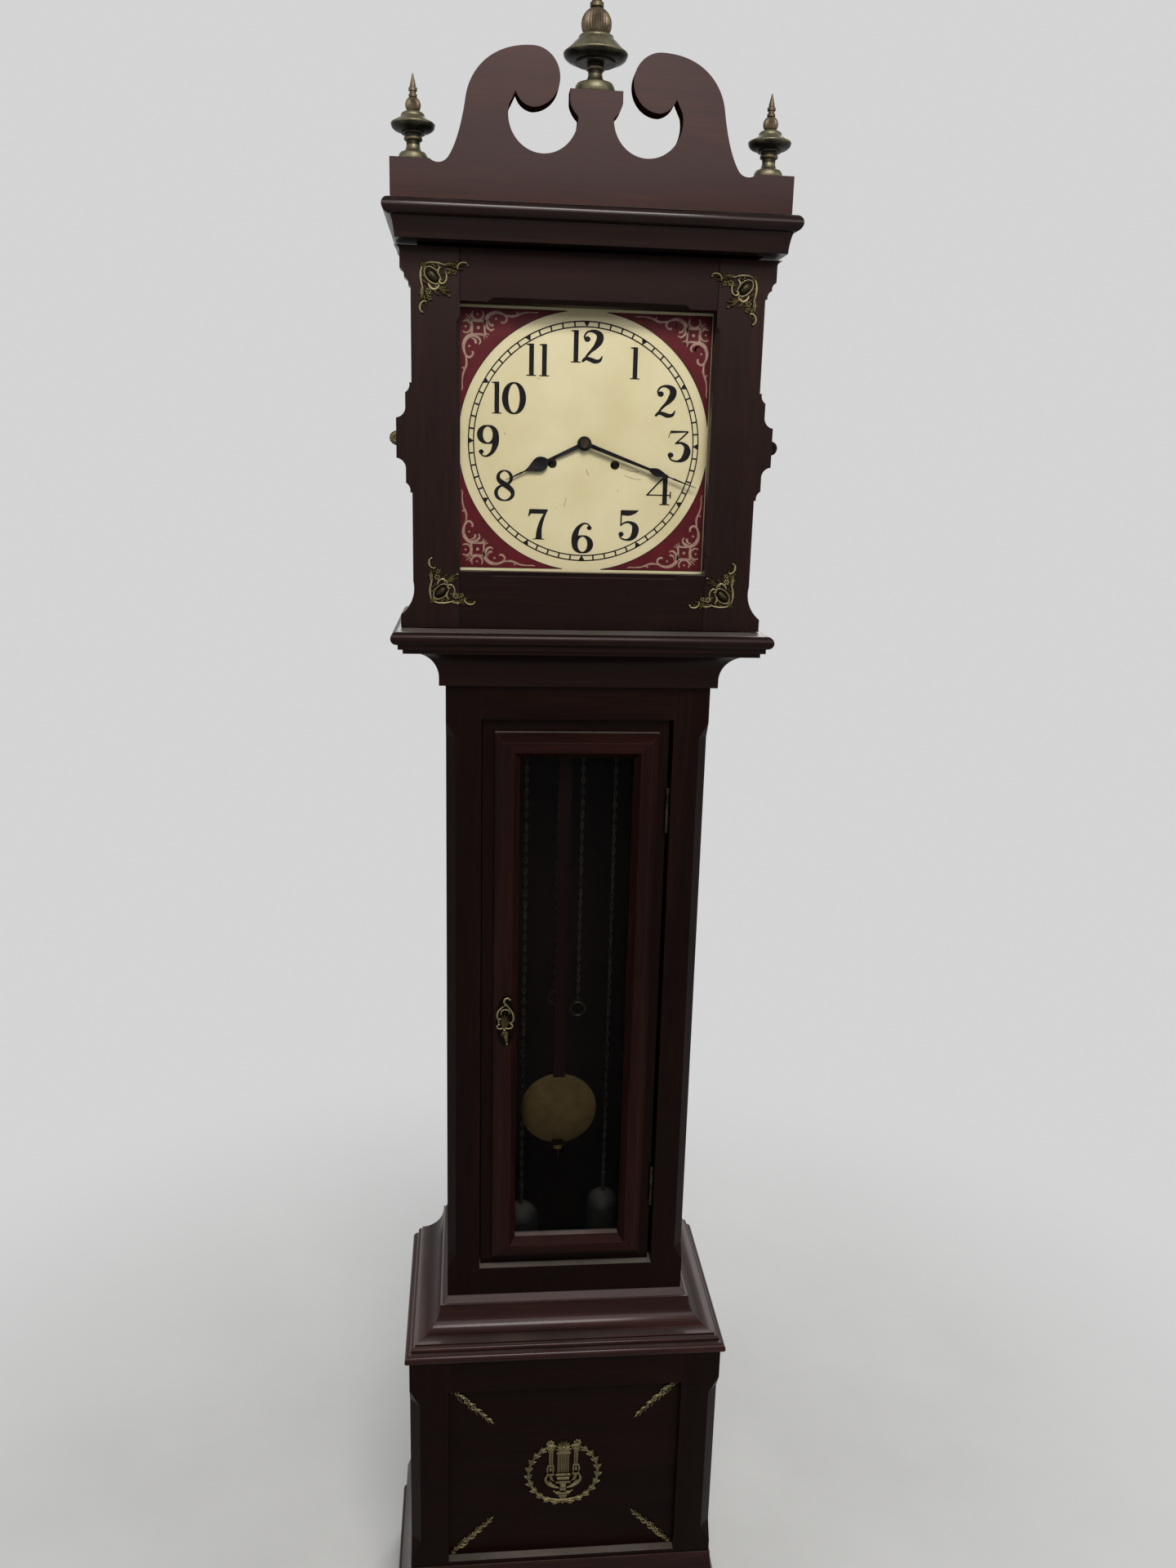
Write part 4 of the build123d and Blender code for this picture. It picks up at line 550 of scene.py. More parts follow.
# Corner mounts of the hood door
def corner_mount(relief):
    """One mount with its outer corner at the origin, an oval boss in a frame, and a leafy arm along each axis."""
    outer = relief.move
    for flip in (False, True):
        relief.move = (lambda p: outer(np.asarray(p)[::-1])) if flip else outer
        relief.strand([(3.2, 7), (1.9, 14), (2.4, 22), (4.6, 30)], 1.6, 2.8)
        for start, end, half, rise, bend in (
            ((2.6, 14.6), (7.6, 20.6), 1.7, 2.4, -0.1), ((3, 20.6), (9, 26.4), 1.8, 2.5, -0.1),
            ((7.6, 33), (15.4, 43), 1.8, 2.4, 0.1), ((3.4, 40.6), (9.2, 49.6), 1.6, 2.4, -0.1),
            ((5.4, 10), (1, 0.8), 1.8, 2.6, 0.06), ((6.8, 9.6), (6.4, 0.5), 1.7, 2.4, 0),
            ((4.6, 28), (-0.2, 35.5), 1.9, 2.7, -0.12), ((4.2, 35), (0, 42.8), 1.7, 2.6, -0.12),
            ((7.6, 29.6), (16.4, 35.6), 1.8, 2.4, 0.15), ((6, 36.4), (8.8, 45), 1.8, 2.6, 0.1),
            ((12.4, 30), (13, 24), 1.6, 2.2, 0.1),
        ):
            relief.leaf(start, end, half, rise, bend, 2)
        relief.leaf((4.2, 26), (3.6, 44), 3, 3.2, 0.03, 3)
        relief.leaf((3.8, 46.2), (4.6, 51.6), 1.2, 2.2)
        relief.dome((0.3, 34.9), 1.2, 1.2, 3, 0, 0, 3, 12)
        relief.dome((0.4, 42.2), 1.2, 1.2, 2.9, 0, 0, 3, 12)
        relief.flower((10.4, 32.6), 4.3, 6, 3, 0.5)
        relief.flower((11.4, 39.4), 3.5, 5, 2.7, 0.4, 0.5)
        hook = [(8.2, 43.4), (4.8, 43.4), (1.8, 46), (0.8, 50), (1.7, 53.4), (3.8, 54.8)]
        relief.strand(hook, 1.5, 3, (1.6, 2))
    relief.move = outer
    boss, turn = (15, 15.6), math.radians(45)
    lean = np.array([[math.cos(turn), math.sin(turn)], [-math.sin(turn), math.cos(turn)]])
    rim = polar(np.linspace(0, math.tau, 41), 10.8, 6.9) @ lean
    relief.ribbon(rim + boss, 0.85, 2)
    relief.dome(boss, 8.4, 4.9, 4.4, turn, 0, 6, 24, 0.45)
    relief.leaf((8.6, 8.8), (1, 1), 2.1, 2.8, 0, 2)
    relief.strand([(10.4, 24), (12.6, 28.2), (16.6, 30.4), (20.6, 28.6), (22.6, 25)], 1.8, 3)
    relief.strand([(23.8, 6), (21.4, 10.4), (22, 15.2)], 1.5, 2.8)
    curl = [(29, 10), (31, 16), (29.6, 21.6), (25.6, 24), (22.8, 21.8), (24, 19.4), (25.8, 20.2)]
    relief.strand(curl, 1.4, 3, (0, 1.5))
    for tip, half, bend in (
        ((35.2, 37.4), 2.4, 0.06), ((36.8, 31.4), 1.9, 0.1), ((32.6, 26.8), 1.6, 0.14), ((28.6, 38), 1.8, -0.1),
    ):
        relief.leaf((20.6, 26.4), tip, half, 3, bend, 3)
    relief.leaf((16.6, 30.6), (24, 36.4), 1.7, 2.5, 0.1, 2)
    relief.dome((34.4, 36.6), 1.9, 1.9, 3.4, 0, 0, 4, 12)
    relief.dome((19, 27.2), 1.8, 1.8, 3.4, 0, 0, 4, 12)


corners = Relief(HOOD_Y)
for x_corner, z_corner, way in ((194, 1984.4, -1), (185.5, 1600.6, 1)):
    for side in (-1, 1):
        corners.move = lambda p, x=x_corner, z=z_corner, w=way, s=side: (s * (x - p[0]), z + w * p[1])
        corner_mount(corners)
corner_mounts = corners.make("corner_mounts", "hood_door")
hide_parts("hood_mounts")


def roundel(name, side, mats, petals):
    """A turned boss on the ear's edge, flat where it meets the stile; petals carve it."""
    verts = []
    around, x_flat, y_mid = 48, 221.5, -85.0
    profile = [(0, 7), (2.2, 7), (3, 6.1), (4.2, 6.6), (6.4, 6.2), (7.6, 5), (8.4, 3.2), (8.5, -7)]
    for r, h in profile:
        for j in range(around + 1):
            a = math.pi * (j / around - 0.5)
            lobe = 1.0 - 0.06 * (r > 3) * abs(math.sin(petals * a))
            verts.append((side * (x_flat + r * lobe * math.cos(a)), y_mid - h, DIAL_Z + r * lobe * math.sin(a)))
    faces = [quad if side < 0 else quad[::-1] for quad in strips(len(profile), around + 1)]
    return piece(name, verts, faces, mats, "hood_door", [0.7] * len(verts))


roundel("left_ear_roundel", -1, [mount_brass], 7)
roundel("right_ear_roundel", 1, [across], 0)


# Lyre in a wreath, and garlands, on the base panel
lyre = Relief(PANEL_Y)
WREATH_R, WREATH_Z = 50.0, PANEL_Z - 5.0
for side in (-1, 1):
    lyre.move = lambda p, s=side: (s * p[0], WREATH_Z + p[1])
    ring = np.radians(np.linspace(-90, 66, 60))
    lyre.ribbon(polar(ring, WREATH_R), 2, 1.5)
    for i in range(11):
        a = math.radians(-84.0 + 14.6 * i)
        start = polar(a, WREATH_R)
        for lean, reach, base in ((-34, 10.4, 0), (34, 10.4, 0), (0, 12, 0.6)):
            end = start + polar(a + math.radians(90.0 + lean), reach)
            lyre.leaf(start, end, 3.5, 2.6, -0.004 * lean, 0, base, n=10)
        lyre.dome(start, 1.5, 1.5, 3.2, 0, 0, 3, 10)
    for offset in (-2.1, 0, 2.1):
        lyre.ribbon([(18.0 + offset, 15), (18.0 + offset, 28), (18.0 + offset, 41)], 1.1, 2.6)
    for level, half, thick in ((42, 4.4, 1.4), (38.8, 3.7, 0.9), (14.6, 4.6, 1.4), (-0.8, 5.2, 1.4)):
        lyre.ribbon([(18.4 - half, level), (18.4 + half, level)], thick, 3.2, BAR)
    lyre.flower((19.4, 51), 6.6, 7, 3.2)
    for rib in (14.6, 22.2):
        lyre.strand([(rib, 13.4), (rib + 0.8 * (rib > 18), 7), (rib, 0.6)], 1.6, 2.8)
    lyre.dome((18.4, 6.8), 2.6, 4.6, 3)
    lyre.strand([(22.6, -2), (25.4, -10), (21.4, -17.6), (13.4, -23.2), (7, -24.4)], 2.5, 3.2, (0, 1.8))
    lyre.leaf((24.4, -5), (26.2, -13.6), 1.6, 2.6)
    lyre.leaf((19, -2.4), (11.6, -14), 3, 2.8, 0.1, 3)
    lyre.leaf((22, -13), (10, -21), 2.4, 2.4, 0.1, 3)
    lyre.strand([(15.2, 40.6), (12.6, 43.4), (13.8, 47), (10.8, 47.4)], 1.4, 2.8, (0, 1.5))
    lyre.leaf((2.6, -33.4), (14, -29.8), 2.3, 2.8, -0.12, 2)
    lyre.dome((13.4, -30), 1.5, 1.5, 3, 0, 0, 3, 12)
lyre.move = lambda p: (p[0], WREATH_Z + p[1])
for offset in np.linspace(-7.6, 7.6, 7):
    lyre.ribbon([(offset, 0), (offset, 33)], 1, 1.4)
for level, half, thick in (
    (35.6, 10.2, 1.6), (41.6, 10.8, 1.5), (38.6, 8, 1.2), (-2.2, 10.6, 1.8), (-8.6, 8.8, 2), (-15, 10.8, 1.4),
    (-34.6, 9.2, 1.5), (-38.8, 6, 1.4), (-42.6, 4.2, 1.2),
):
    lyre.ribbon([(-half, level), (half, level)], thick, 3, BAR)
lyre.ribbon([(0, -30), (0, -16)], 4.6, 2.2, BAR)
lyre.dome((0, -22.6), 5.8, 4.4, 3.8)
lyre.strand([(-22, -42.6), (-12, -46), (0, -47.6), (12, -46), (22, -42.6)], 2.6, 2.8)
lyre.dome((0, -51.6), 1.8, 2.6, 2.8)
for i in range(7):
    a = math.radians(90 + (i - 3) * 25)
    lyre.leaf((0, 43), polar(a, 11.4, 14) + (0, 44), 2.4, 3.4)
lyre.dome((0, 45.4), 3.4, 2.4, 4.2)

for side, level, fall in ((-1, 222, 1), (-1, 511, -1), (1, 222, 1), (1, 511, -1)):
    start = np.array([side * (164.5 - 2.8), level + fall * 2.8])
    inward = np.array([-side, fall]) * math.sqrt(0.5)
    aside = np.array([-inward[1], inward[0]])
    lyre.move = lambda p, o=start, a=inward, b=aside: o + a * p[0] + b * p[1]
    lyre.ribbon([(2, 0), (30, 0.6), (60, -0.6), (86, 0)], [0.8, 1.3, 1.1, 0.5], 1.6)
    for at, size in ((12, 4.4), (32, 5.6), (47, 4.8), (62, 3.4), (73, 2.6)):
        lyre.flower((at, 0.7 * (-1) ** int(at)), size, 6, 3, 0.4, at * 0.3)
    for at, size in ((4, 5), (18, 7.5), (24, 7.5), (39, 7.5), (54, 6.5), (67, 5), (77, 4.5)):
        for lean in (-1, 1):
            lyre.leaf((at - 3, 0), (at + size, lean * size * 0.72), 1.7, 2.2, 0.12 * lean, 2)
    lyre.leaf((78, 0), (88, 0), 1.6, 2)
    lyre.leaf((6, 0), (-0.5, 0), 1.7, 2)
base_ornament = lyre.make("base_ornament", "case")
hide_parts("base_mounts")


# Keyhole plate on the trunk door
escutcheon = Relief(KEYHOLE_Y)
escutcheon.move = lambda p: (KEYHOLE_X + p[0], KEYHOLE_Z + p[1])
for points, half, tips in (
    ([(0.6, 23.6), (-2, 28), (-0.8, 32.4), (2.8, 33.6), (5.6, 31.8)], 1.7, (0, 1.9)),
    ([(0.8, 24.4), (5.2, 18.7), (9.2, 12), (10.6, 5.2), (9.2, 0.2), (6.2, -1.4)], 1.5, (1.7, 1.7)),
    ([(-0.8, 23.6), (-5.4, 20), (-9.6, 15), (-11, 9), (-10, 4.6), (-7, 4.4)], 1.5, (1.5, 1.8)),
    ([(-6.4, 10), (-5.2, 15.4), (-0.6, 17.8), (3.8, 16), (5.4, 11)], 1.2, (0, 0)),
    ([(-2.4, -8.6), (-7, -9.8), (-10.2, -8.6), (-10.8, -5.4), (-8.6, -3.8)], 1.4, (0, 1.8)),
    ([(-0.4, -8.6), (4.6, -9.6), (8.4, -8), (9.4, -4.8), (7.4, -3.2)], 1.4, (0, 1.8)),
    ([(-9.6, 3.4), (-8.6, -0.6), (-9.8, -4)], 1.1, (0, 0)),
):
    escutcheon.strand(points, half, 2.7, tips)
FAN = (-1.4, -8.4)
for start, end, half in (
    ((0.4, 25), (-4.6, 21), 1.5), ((0.6, 25.6), (4.8, 22.4), 1.5),
    (FAN, (-7, 8.6), 1.7), (FAN, (-4.2, 11.4), 1.8), (FAN, (-0.6, 13.8), 2), (FAN, (2.8, 10.6), 1.8),
    (FAN, (5.4, 5.8), 1.7), (FAN, (5.8, 0.4), 1.5), (FAN, (-7, 0.6), 1.5),
    ((-1.4, -12.4), (2.2, -33.6), 3.2), ((-2.4, -12.8), (-5.8, -20.8), 1.9),
    ((0, -12.8), (5.2, -19.2), 1.9), ((-1.6, -14), (-2.2, -25.4), 1.6),
):
    escutcheon.leaf(start, end, half, 3, 0.03, 2)
for spot, wide, high in (((0.2, 24.4), 1.8, 1.8), ((-1.4, -11.2), 2.5, 2.5), ((2, -31.6), 1.7, 2.4)):
    escutcheon.dome(spot, wide, high, 3.4)
escutcheon.make("keyhole_ornament", "trunk_door")


# Dial painting, in thin layers over the plate
COATS, COAT = 6, 0.02


class Flat:
    """Flat shapes at one depth, gathered into one mesh: points across and up from the dial's centre."""

    def __init__(self, proud):
        self.y = DIAL_Y - proud
        self.verts, self.faces, self.coat = [], [], 0
        self.move = lambda p: p

    def polygon(self, points, coat=None):
        """One face; each shape lies a hair over the one before it."""
        if coat is None:
            self.coat = coat = (self.coat + 1) % COATS
        first = len(self.verts)
        for p in points:
            x, z = self.move(np.asarray(p, float))
            self.verts.append((x, self.y - COAT * coat, DIAL_Z + z))
        self.faces.append(list(range(first, len(self.verts))))

    def stroke(self, path, half):
        path = np.asarray(path, float)
        half = np.broadcast_to(np.asarray(half, float), len(path))
        aside = leftward(path, np.allclose(path[0], path[-1])) * half[:, None]
        left, right = path + aside, path - aside
        self.coat = (self.coat + 1) % COATS
        for i in range(len(path) - 1):
            self.polygon([left[i], right[i], right[i + 1], left[i + 1]], self.coat)

    def disc(self, centre, r, n=28):
        self.polygon(polar(np.linspace(0, math.tau, n, endpoint=False), r) + centre)

    def make(self, name, material):
        return piece(name, self.verts, self.faces, [material], "case", None, 30, True)


def weights(path, marks):
    """Half widths along a path, given at shares of its length."""
    reach = np.concatenate([[0], np.cumsum(np.linalg.norm(np.diff(path, axis=0), axis=1))])
    return np.interp(reach / reach[-1], *zip(*marks))


# Figures one unit high: width, stretch, and shapes. A box has its low and high corners, a line has half widths
# at shares of its length, and an oval has its radii, and thin and thick half widths with the power between them.
FIGURES = {
    "0": (0.7, 1.11, [("oval", (0.35, 0.5), (0.262, 0.478), (0.025, 0.07, 1.3))]),
    "1": (0.32, 1, [
        ("box", (0.085, 0), (0.24, 1)),
        ("fill", [(0, 0.955), (0.085, 0.945), (0.085, 1), (0, 0.985)]),
        ("box", (0, 0), (0.32, 0.034)),
    ]),
    "2": (0.62, 1.16, [
        ("disc", (0.165, 0.735), 0.088),
        ("line", [(0.1, 0.72), (0.085, 0.83), (0.17, 0.955), (0.33, 0.985), (0.49, 0.9), (0.52, 0.74), (0.42, 0.53),
                  (0.22, 0.3), (0.06, 0.05)],
         [(0, 0.02), (0.2, 0.028), (0.42, 0.09), (0.55, 0.088), (0.75, 0.04), (1, 0.02)]),
        ("line", [(0.03, 0.03), (0.13, 0.13), (0.25, 0.11), (0.4, 0.055), (0.53, 0.09), (0.6, 0.23)],
         [(0, 0.03), (0.25, 0.052), (0.55, 0.066), (0.75, 0.045), (1, 0.01)]),
    ]),
    "3": (0.68, 1.16, [
        ("fill", [(0.1, 1), (0.62, 1), (0.62, 0.955), (0.1, 0.91), (0.055, 0.76), (0.035, 0.76)]),
        ("line", [(0.61, 0.97), (0.44, 0.78), (0.27, 0.6)], [(0, 0.022), (1, 0.022)]),
        ("line", [(0.24, 0.58), (0.42, 0.61), (0.57, 0.5), (0.6, 0.3), (0.5, 0.09), (0.31, 0.015), (0.14, 0.07),
                  (0.075, 0.2)],
         [(0, 0.02), (0.2, 0.045), (0.4, 0.095), (0.55, 0.09), (0.75, 0.028), (1, 0.02)]),
        ("disc", (0.125, 0.21), 0.085),
    ]),
    "4": (0.84, 1, [
        ("fill", [(0.55, 0), (0.71, 0), (0.71, 1), (0.64, 1), (0.55, 0.88)]),
        ("line", [(0.66, 0.99), (0.36, 0.68), (0.02, 0.31)], [(0, 0.026), (1, 0.024)]),
        ("box", (0, 0.3), (0.82, 0.342)),
        ("box", (0.795, 0.225), (0.84, 0.44)),
        ("box", (0.46, 0), (0.8, 0.034)),
    ]),
    "5": (0.65, 1.08, [
        ("fill", [(0.09, 1), (0.66, 1), (0.56, 0.9), (0.42, 0.83), (0.3, 0.81), (0.09, 0.83)]),
        ("line", [(0.105, 0.98), (0.105, 0.7), (0.1, 0.47)], [(0, 0.022), (1, 0.02)]),
        ("line", [(0.1, 0.49), (0.2, 0.575), (0.36, 0.6), (0.53, 0.5), (0.56, 0.29), (0.47, 0.09), (0.29, 0.015),
                  (0.12, 0.07), (0.06, 0.19)],
         [(0, 0.018), (0.2, 0.035), (0.42, 0.098), (0.58, 0.09), (0.78, 0.028), (1, 0.02)]),
        ("disc", (0.115, 0.2), 0.082),
    ]),
    "6": (0.66, 1.12, [
        ("oval", (0.35, 0.295), (0.235, 0.275), (0.025, 0.066, 1.3)),
        ("line", [(0.105, 0.3), (0.115, 0.55), (0.2, 0.82), (0.36, 0.975), (0.5, 0.965), (0.58, 0.86)],
         [(0, 0.085), (0.3, 0.085), (0.62, 0.045), (0.82, 0.022), (1, 0.02)]),
        ("disc", (0.545, 0.845), 0.074),
    ]),
    "7": (0.66, 1.05, [
        ("fill", [(0.07, 1), (0.66, 1), (0.66, 0.955), (0.6, 0.85), (0.13, 0.85), (0.06, 0.76), (0.03, 0.76)]),
        ("line", [(0.62, 0.96), (0.49, 0.68), (0.4, 0.36), (0.375, 0.02)], [(0, 0.025), (0.4, 0.055), (1, 0.092)]),
        ("box", (0.19, 0), (0.56, 0.032)),
    ]),
    "8": (0.66, 1.08, [
        ("oval", (0.33, 0.755), (0.205, 0.225), (0.022, 0.03, 1)),
        ("oval", (0.33, 0.265), (0.26, 0.245), (0.022, 0.036, 1)),
        ("line", [(0.15, 0.84), (0.15, 0.7), (0.27, 0.58), (0.43, 0.47), (0.55, 0.34), (0.57, 0.2)],
         [(0, 0.03), (0.25, 0.07), (0.5, 0.085), (0.8, 0.07), (1, 0.03)]),
    ]),
}
FIGURES["9"] = (0.66, 1.1, FIGURES["6"][2])
PEN, BRUSH = 1.12, 1.25  # heavier than the half widths listed


def draw_digit(flat, digit):
    """Draw a figure with thick and thin strokes; the nine is the six turned over."""
    outer = flat.move
    if digit == "9":
        flat.move = lambda p: outer(np.array([0.66, 1]) - p)
    for kind, *shape in FIGURES[digit][2]:
        if kind == "fill":
            flat.polygon(*shape)
        elif kind == "box":
            (x0, z0), (x1, z1) = shape
            flat.polygon([(x0, z0), (x1, z0), (x1, z1), (x0, z1)])
        elif kind == "disc":
            flat.disc(*shape)
        elif kind == "line":
            path = smooth_path(shape[0])
            flat.stroke(path, PEN * weights(path, shape[1]))
        else:
            centre, radii, (thin, thick, power) = shape
            a = np.linspace(0, math.tau, 64)
            flat.stroke(polar(a, *radii) + centre, thin + thick * np.abs(np.cos(a)) ** power)
    flat.move = outer


spandrels, outlines, scrolls = Flat(0.1), Flat(0.14), Flat(0.18)
EDGE, ARC = 148.8, 150.7
DIAMOND, DIAMOND_R = (21.8, 21.8), 11.4
reach = math.sqrt(ARC**2 - EDGE**2)
low = math.asin(reach / ARC)
bow = polar(np.linspace(low, math.pi / 2 - low, 40), ARC)
diamond = []
t = np.linspace(0, 1, 9)[:-1, None]
for i in range(4):
    p0, p1 = (polar(math.radians(45 + 90 * k), DIAMOND_R) for k in (i, i + 1))
    mid = (p0 + p1) / 2 * 0.8
    diamond += list((1 - t) ** 2 * p0 + 2 * (1 - t) * t * mid + t**2 * p1)
diamond = np.array(diamond + diamond[:1]) + DIAMOND


def corner(points):
    """Points given inward from the plate's corner."""
    return EDGE - np.asarray(points, float)


for sx, sz in ((-1, -1), (-1, 1), (1, -1), (1, 1)):
    for flat in (spandrels, outlines, scrolls):
        flat.move = lambda p, sx=sx, sz=sz: (sx * p[0], sz * p[1])
    spandrels.polygon(list(bow) + [(EDGE, EDGE)])
    outlines.stroke(bow, 0.45)
    outlines.stroke([(EDGE, reach), (EDGE, EDGE)], 0.4)
    outlines.stroke([(reach, EDGE), (EDGE, EDGE)], 0.4)
    scrolls.stroke(corner(diamond), 1.15)
    scrolls.disc(corner(DIAMOND), 1.9, n=14)
    for start, end, half in (
        ((12.4, 12.4), (7.6, 7.6), 0.75), ((14, 11.2), (11.6, 6.6), 0.75), ((11.2, 14), (6.6, 11.6), 0.75),
        ((29.4, 29.4), (32.6, 32.6), 0.8), ((30.2, 27.8), (34.6, 29.4), 0.8), ((27.8, 30.2), (29.4, 34.6), 0.8),
    ):
        scrolls.stroke(corner([start, end]), [half, 0.35])
    for flip in (1, -1):
        around = np.radians(np.linspace(-125, 125, 30))
        cup = polar(around, 6.2, 6.6) + (7.4, 21)
        scrolls.stroke(corner(cup[:, ::flip]), 0.35 + 0.75 * np.cos(around / 2))
        scrolls.disc(corner((7, 21)[::flip]), 1.2, n=12)
        for points, marks in (
            ([(22.6, 40.4), (24.2, 36.4), (20.6, 32), (14.6, 30.2), (8.4, 33.4), (5, 39.6), (4.8, 46),
              (7.4, 52.6), (11.6, 54.8), (15.4, 51.6), (15, 48)],
             [(0, 0.5), (0.12, 1), (0.3, 1.75), (0.5, 1.6), (0.72, 0.9), (0.9, 0.95), (1, 0.9)]),
            ([(18.8, 39.4), (18.6, 36.4), (16.4, 34.2), (13.4, 34)], [(0, 1.1), (0.5, 0.9), (1, 0.3)]),
            ([(7, 51.6), (8, 58), (7.8, 64), (5, 71), (3.4, 78), (3.3, 87)],
             [(0, 0.5), (0.3, 1), (0.7, 0.7), (1, 0.3)]),
            ([(3.2, 66), (5.2, 68.4), (4.8, 71.6)], [(0, 0.7), (1, 0.3)]),
            ([(2.4, 92), (3.4, 88), (2.6, 83)], [(0, 0.35), (0.5, 0.6), (1, 0.3)]),
        ):
            path = smooth_path(points, 8)
            scrolls.stroke(corner(path[:, ::flip]), BRUSH * weights(path, marks))
        scrolls.disc(corner((11.4, 42.4)[::flip]), 1.2, n=12)
spandrels.make("dial_spandrels", crimson)
outlines.make("dial_spandrel_lines", ink)
scrolls.make("dial_scrolls", tan)

track = Flat(0.2)
TRACK = (132.3, 138.4)
for r in TRACK:
    track.stroke(polar(np.linspace(0, math.tau, 241), r), 0.75)
for i in range(60):
    a = math.radians(6 * i)
    way, aside = polar(math.pi / 2 - a, 1), polar(-a, 1)
    if i % 5:
        track.stroke([way * TRACK[0], way * TRACK[1]], 0.95)
    else:
        track.polygon([way * TRACK[1] + aside * 3.8, way * (TRACK[0] - 0.4), way * TRACK[1] - aside * 3.8])
track.make("dial_track", ink)

numerals = Flat(0.16)
HEIGHT = 36.2
SPOTS = {
    1: (58.6, 93.5), 2: (96.6, 51.2), 3: (114.4, 0), 4: (92.6, -51.6), 5: (56.2, -94.8), 6: (0, -111.4),
    7: (-54.8, -96), 8: (-95, -51.2), 9: (-114.6, 0), 10: (-90.7, 49.6), 11: (-57, 93.5), 12: (1, 110.2),
}
for hour, (cx, cz) in SPOTS.items():
    text = str(hour)
    gap = 0.1 if hour == 11 else 0.015
    widths = [FIGURES[d][0] * FIGURES[d][1] for d in text]
    pen = -(sum(widths) + gap * (len(text) - 1)) / 2
    for d, w in zip(text, widths):
        numerals.move = lambda p, px=pen, k=FIGURES[d][1]: (
            cx + (px + p[0] * k) * HEIGHT, cz + (p[1] - 0.5) * HEIGHT,
        )
        draw_digit(numerals, d)
        pen += w + gap
numerals.make("dial_numerals", ink)

wear = Flat(0.12)
for points, half in (
    ([(44, -26), (52, -29), (66, -32)], 0.35), ([(52, -29.5), (60, -31), (68, -31)], 0.3),
    ([(50, -36), (60, -39), (70, -40.5)], 0.3), ([(3, -30), (5, -34), (6, -37)], 0.4),
    ([(-20, -64), (-21.5, -69), (-22.5, -74)], 0.35), ([(-96, 10), (-95, 8)], 0.5),
    ([(42, -53.5), (43.2, -54)], 0.6), ([(-57, 73), (-54.5, 72)], 0.4),
):
    wear.stroke(smooth_path(points, 6), half)
wear.make("dial_wear", scuff)


# Turned finials with reeded balls
def quarter(a, b, c):
    """A hollow between two points about a centre."""
    a, b, c = (np.asarray(p, float) for p in (a, b, c))
    t = np.linspace(0, math.pi / 2, 9)[:, None]
    return c + (a - c) * np.cos(t) + (b - c) * np.sin(t)


def bow_through(a, m, b, n=11):
    """The arc through three points."""
    (ax, ay), (bx, by), (cx, cy) = a, m, b
    d = 2 * (ax * (by - cy) + bx * (cy - ay) + cx * (ay - by))
    ux = ((ax**2 + ay**2) * (by - cy) + (bx**2 + by**2) * (cy - ay) + (cx**2 + cy**2) * (ay - by)) / d
    uy = ((ax**2 + ay**2) * (cx - bx) + (bx**2 + by**2) * (ax - cx) + (cx**2 + cy**2) * (bx - ax)) / d
    first, middle, last = np.unwrap([math.atan2(y - uy, x - ux) for x, y in (a, m, b)])
    t = np.concatenate([np.linspace(first, middle, n), np.linspace(middle, last, n)[1:]])
    return polar(t, math.hypot(ax - ux, ay - uy)) + (ux, uy)


SIDE_FINIAL = (
    (16.2, 9), (7.6, 17), (10.3, 21.3, 25.6), (12.8, 28, 30), (24, 38), (13.3, 45.4),
    (5.8, 50.6), (8.4, 57.6), (4, 64.6), 1,
)
CENTRE_FINIAL = (
    (22.3, 11), (7.9, 21), (10.6, 24.6, 29), (22, 31, 33), (35.3, 40.9), (19.6, 56),
    (13, 60), (16.6, 71), (5.5, 86.3), 1.637,
)
SPIRE = (
    (3.2, 0), (4.6, 0.6), (4.6, 3), (3.4, 3.8), (3.4, 5.6), (4.7, 6.4), (4.7, 9.4), (3.3, 10.4), (3.4, 11.6),
    (0.6, 23.7),
)


def finial_profile(sizes):
    """Radius, height and finish up the turning: 0 gilt brown, 1 dark umber, 2 rubbed brass, 3 reeded gilt."""
    base, neck, ring, flange, rim, lid, low, middle, top, spire = sizes
    shank = (ring[0] + neck[0]) / 2
    crown = lid[1] + 0.8
    runs = [
        (2, [(0, 0), (base[0] - 1, 0)]),
        (2, bow_through((base[0] - 1, 0), (base[0], base[1] / 2), (base[0] - 2, base[1]))),
        (2, quarter((base[0] - 2, base[1]), neck, (base[0] - 2, neck[1]))),
        (1, [neck, (neck[0], ring[1]), (shank, ring[1])]),
        (0, bow_through((shank, ring[1]), (ring[0], (ring[1] + ring[2]) / 2), (shank, ring[2]), 5)),
        (1, [(shank, ring[2]), (shank, flange[1]), (flange[0], flange[1]), (flange[0], flange[2])]),
        (1, quarter((flange[0], flange[2]), (rim[0], rim[1] - 1.2), (flange[0], rim[1] - 1.2))),
        (2, bow_through((rim[0], rim[1] - 1.2), (rim[0] + 0.3, rim[1]), (rim[0] - 1.2, rim[1] + 1.2), 4)),
        (2, [(rim[0] - 1.2, rim[1] + 1.2), lid, (lid[0], crown)]),
        (2, quarter((lid[0], crown), low, (low[0], crown))),
        (3, bow_through(low, middle, top, 14)),
        (0, [(r * spire, top[1] + h * spire) for r, h in SPIRE]),
        (0, [(0, top[1] + SPIRE[-1][1] * spire)]),
    ]
    return [(kind, float(r), float(h)) for kind, run in runs for r, h in run]


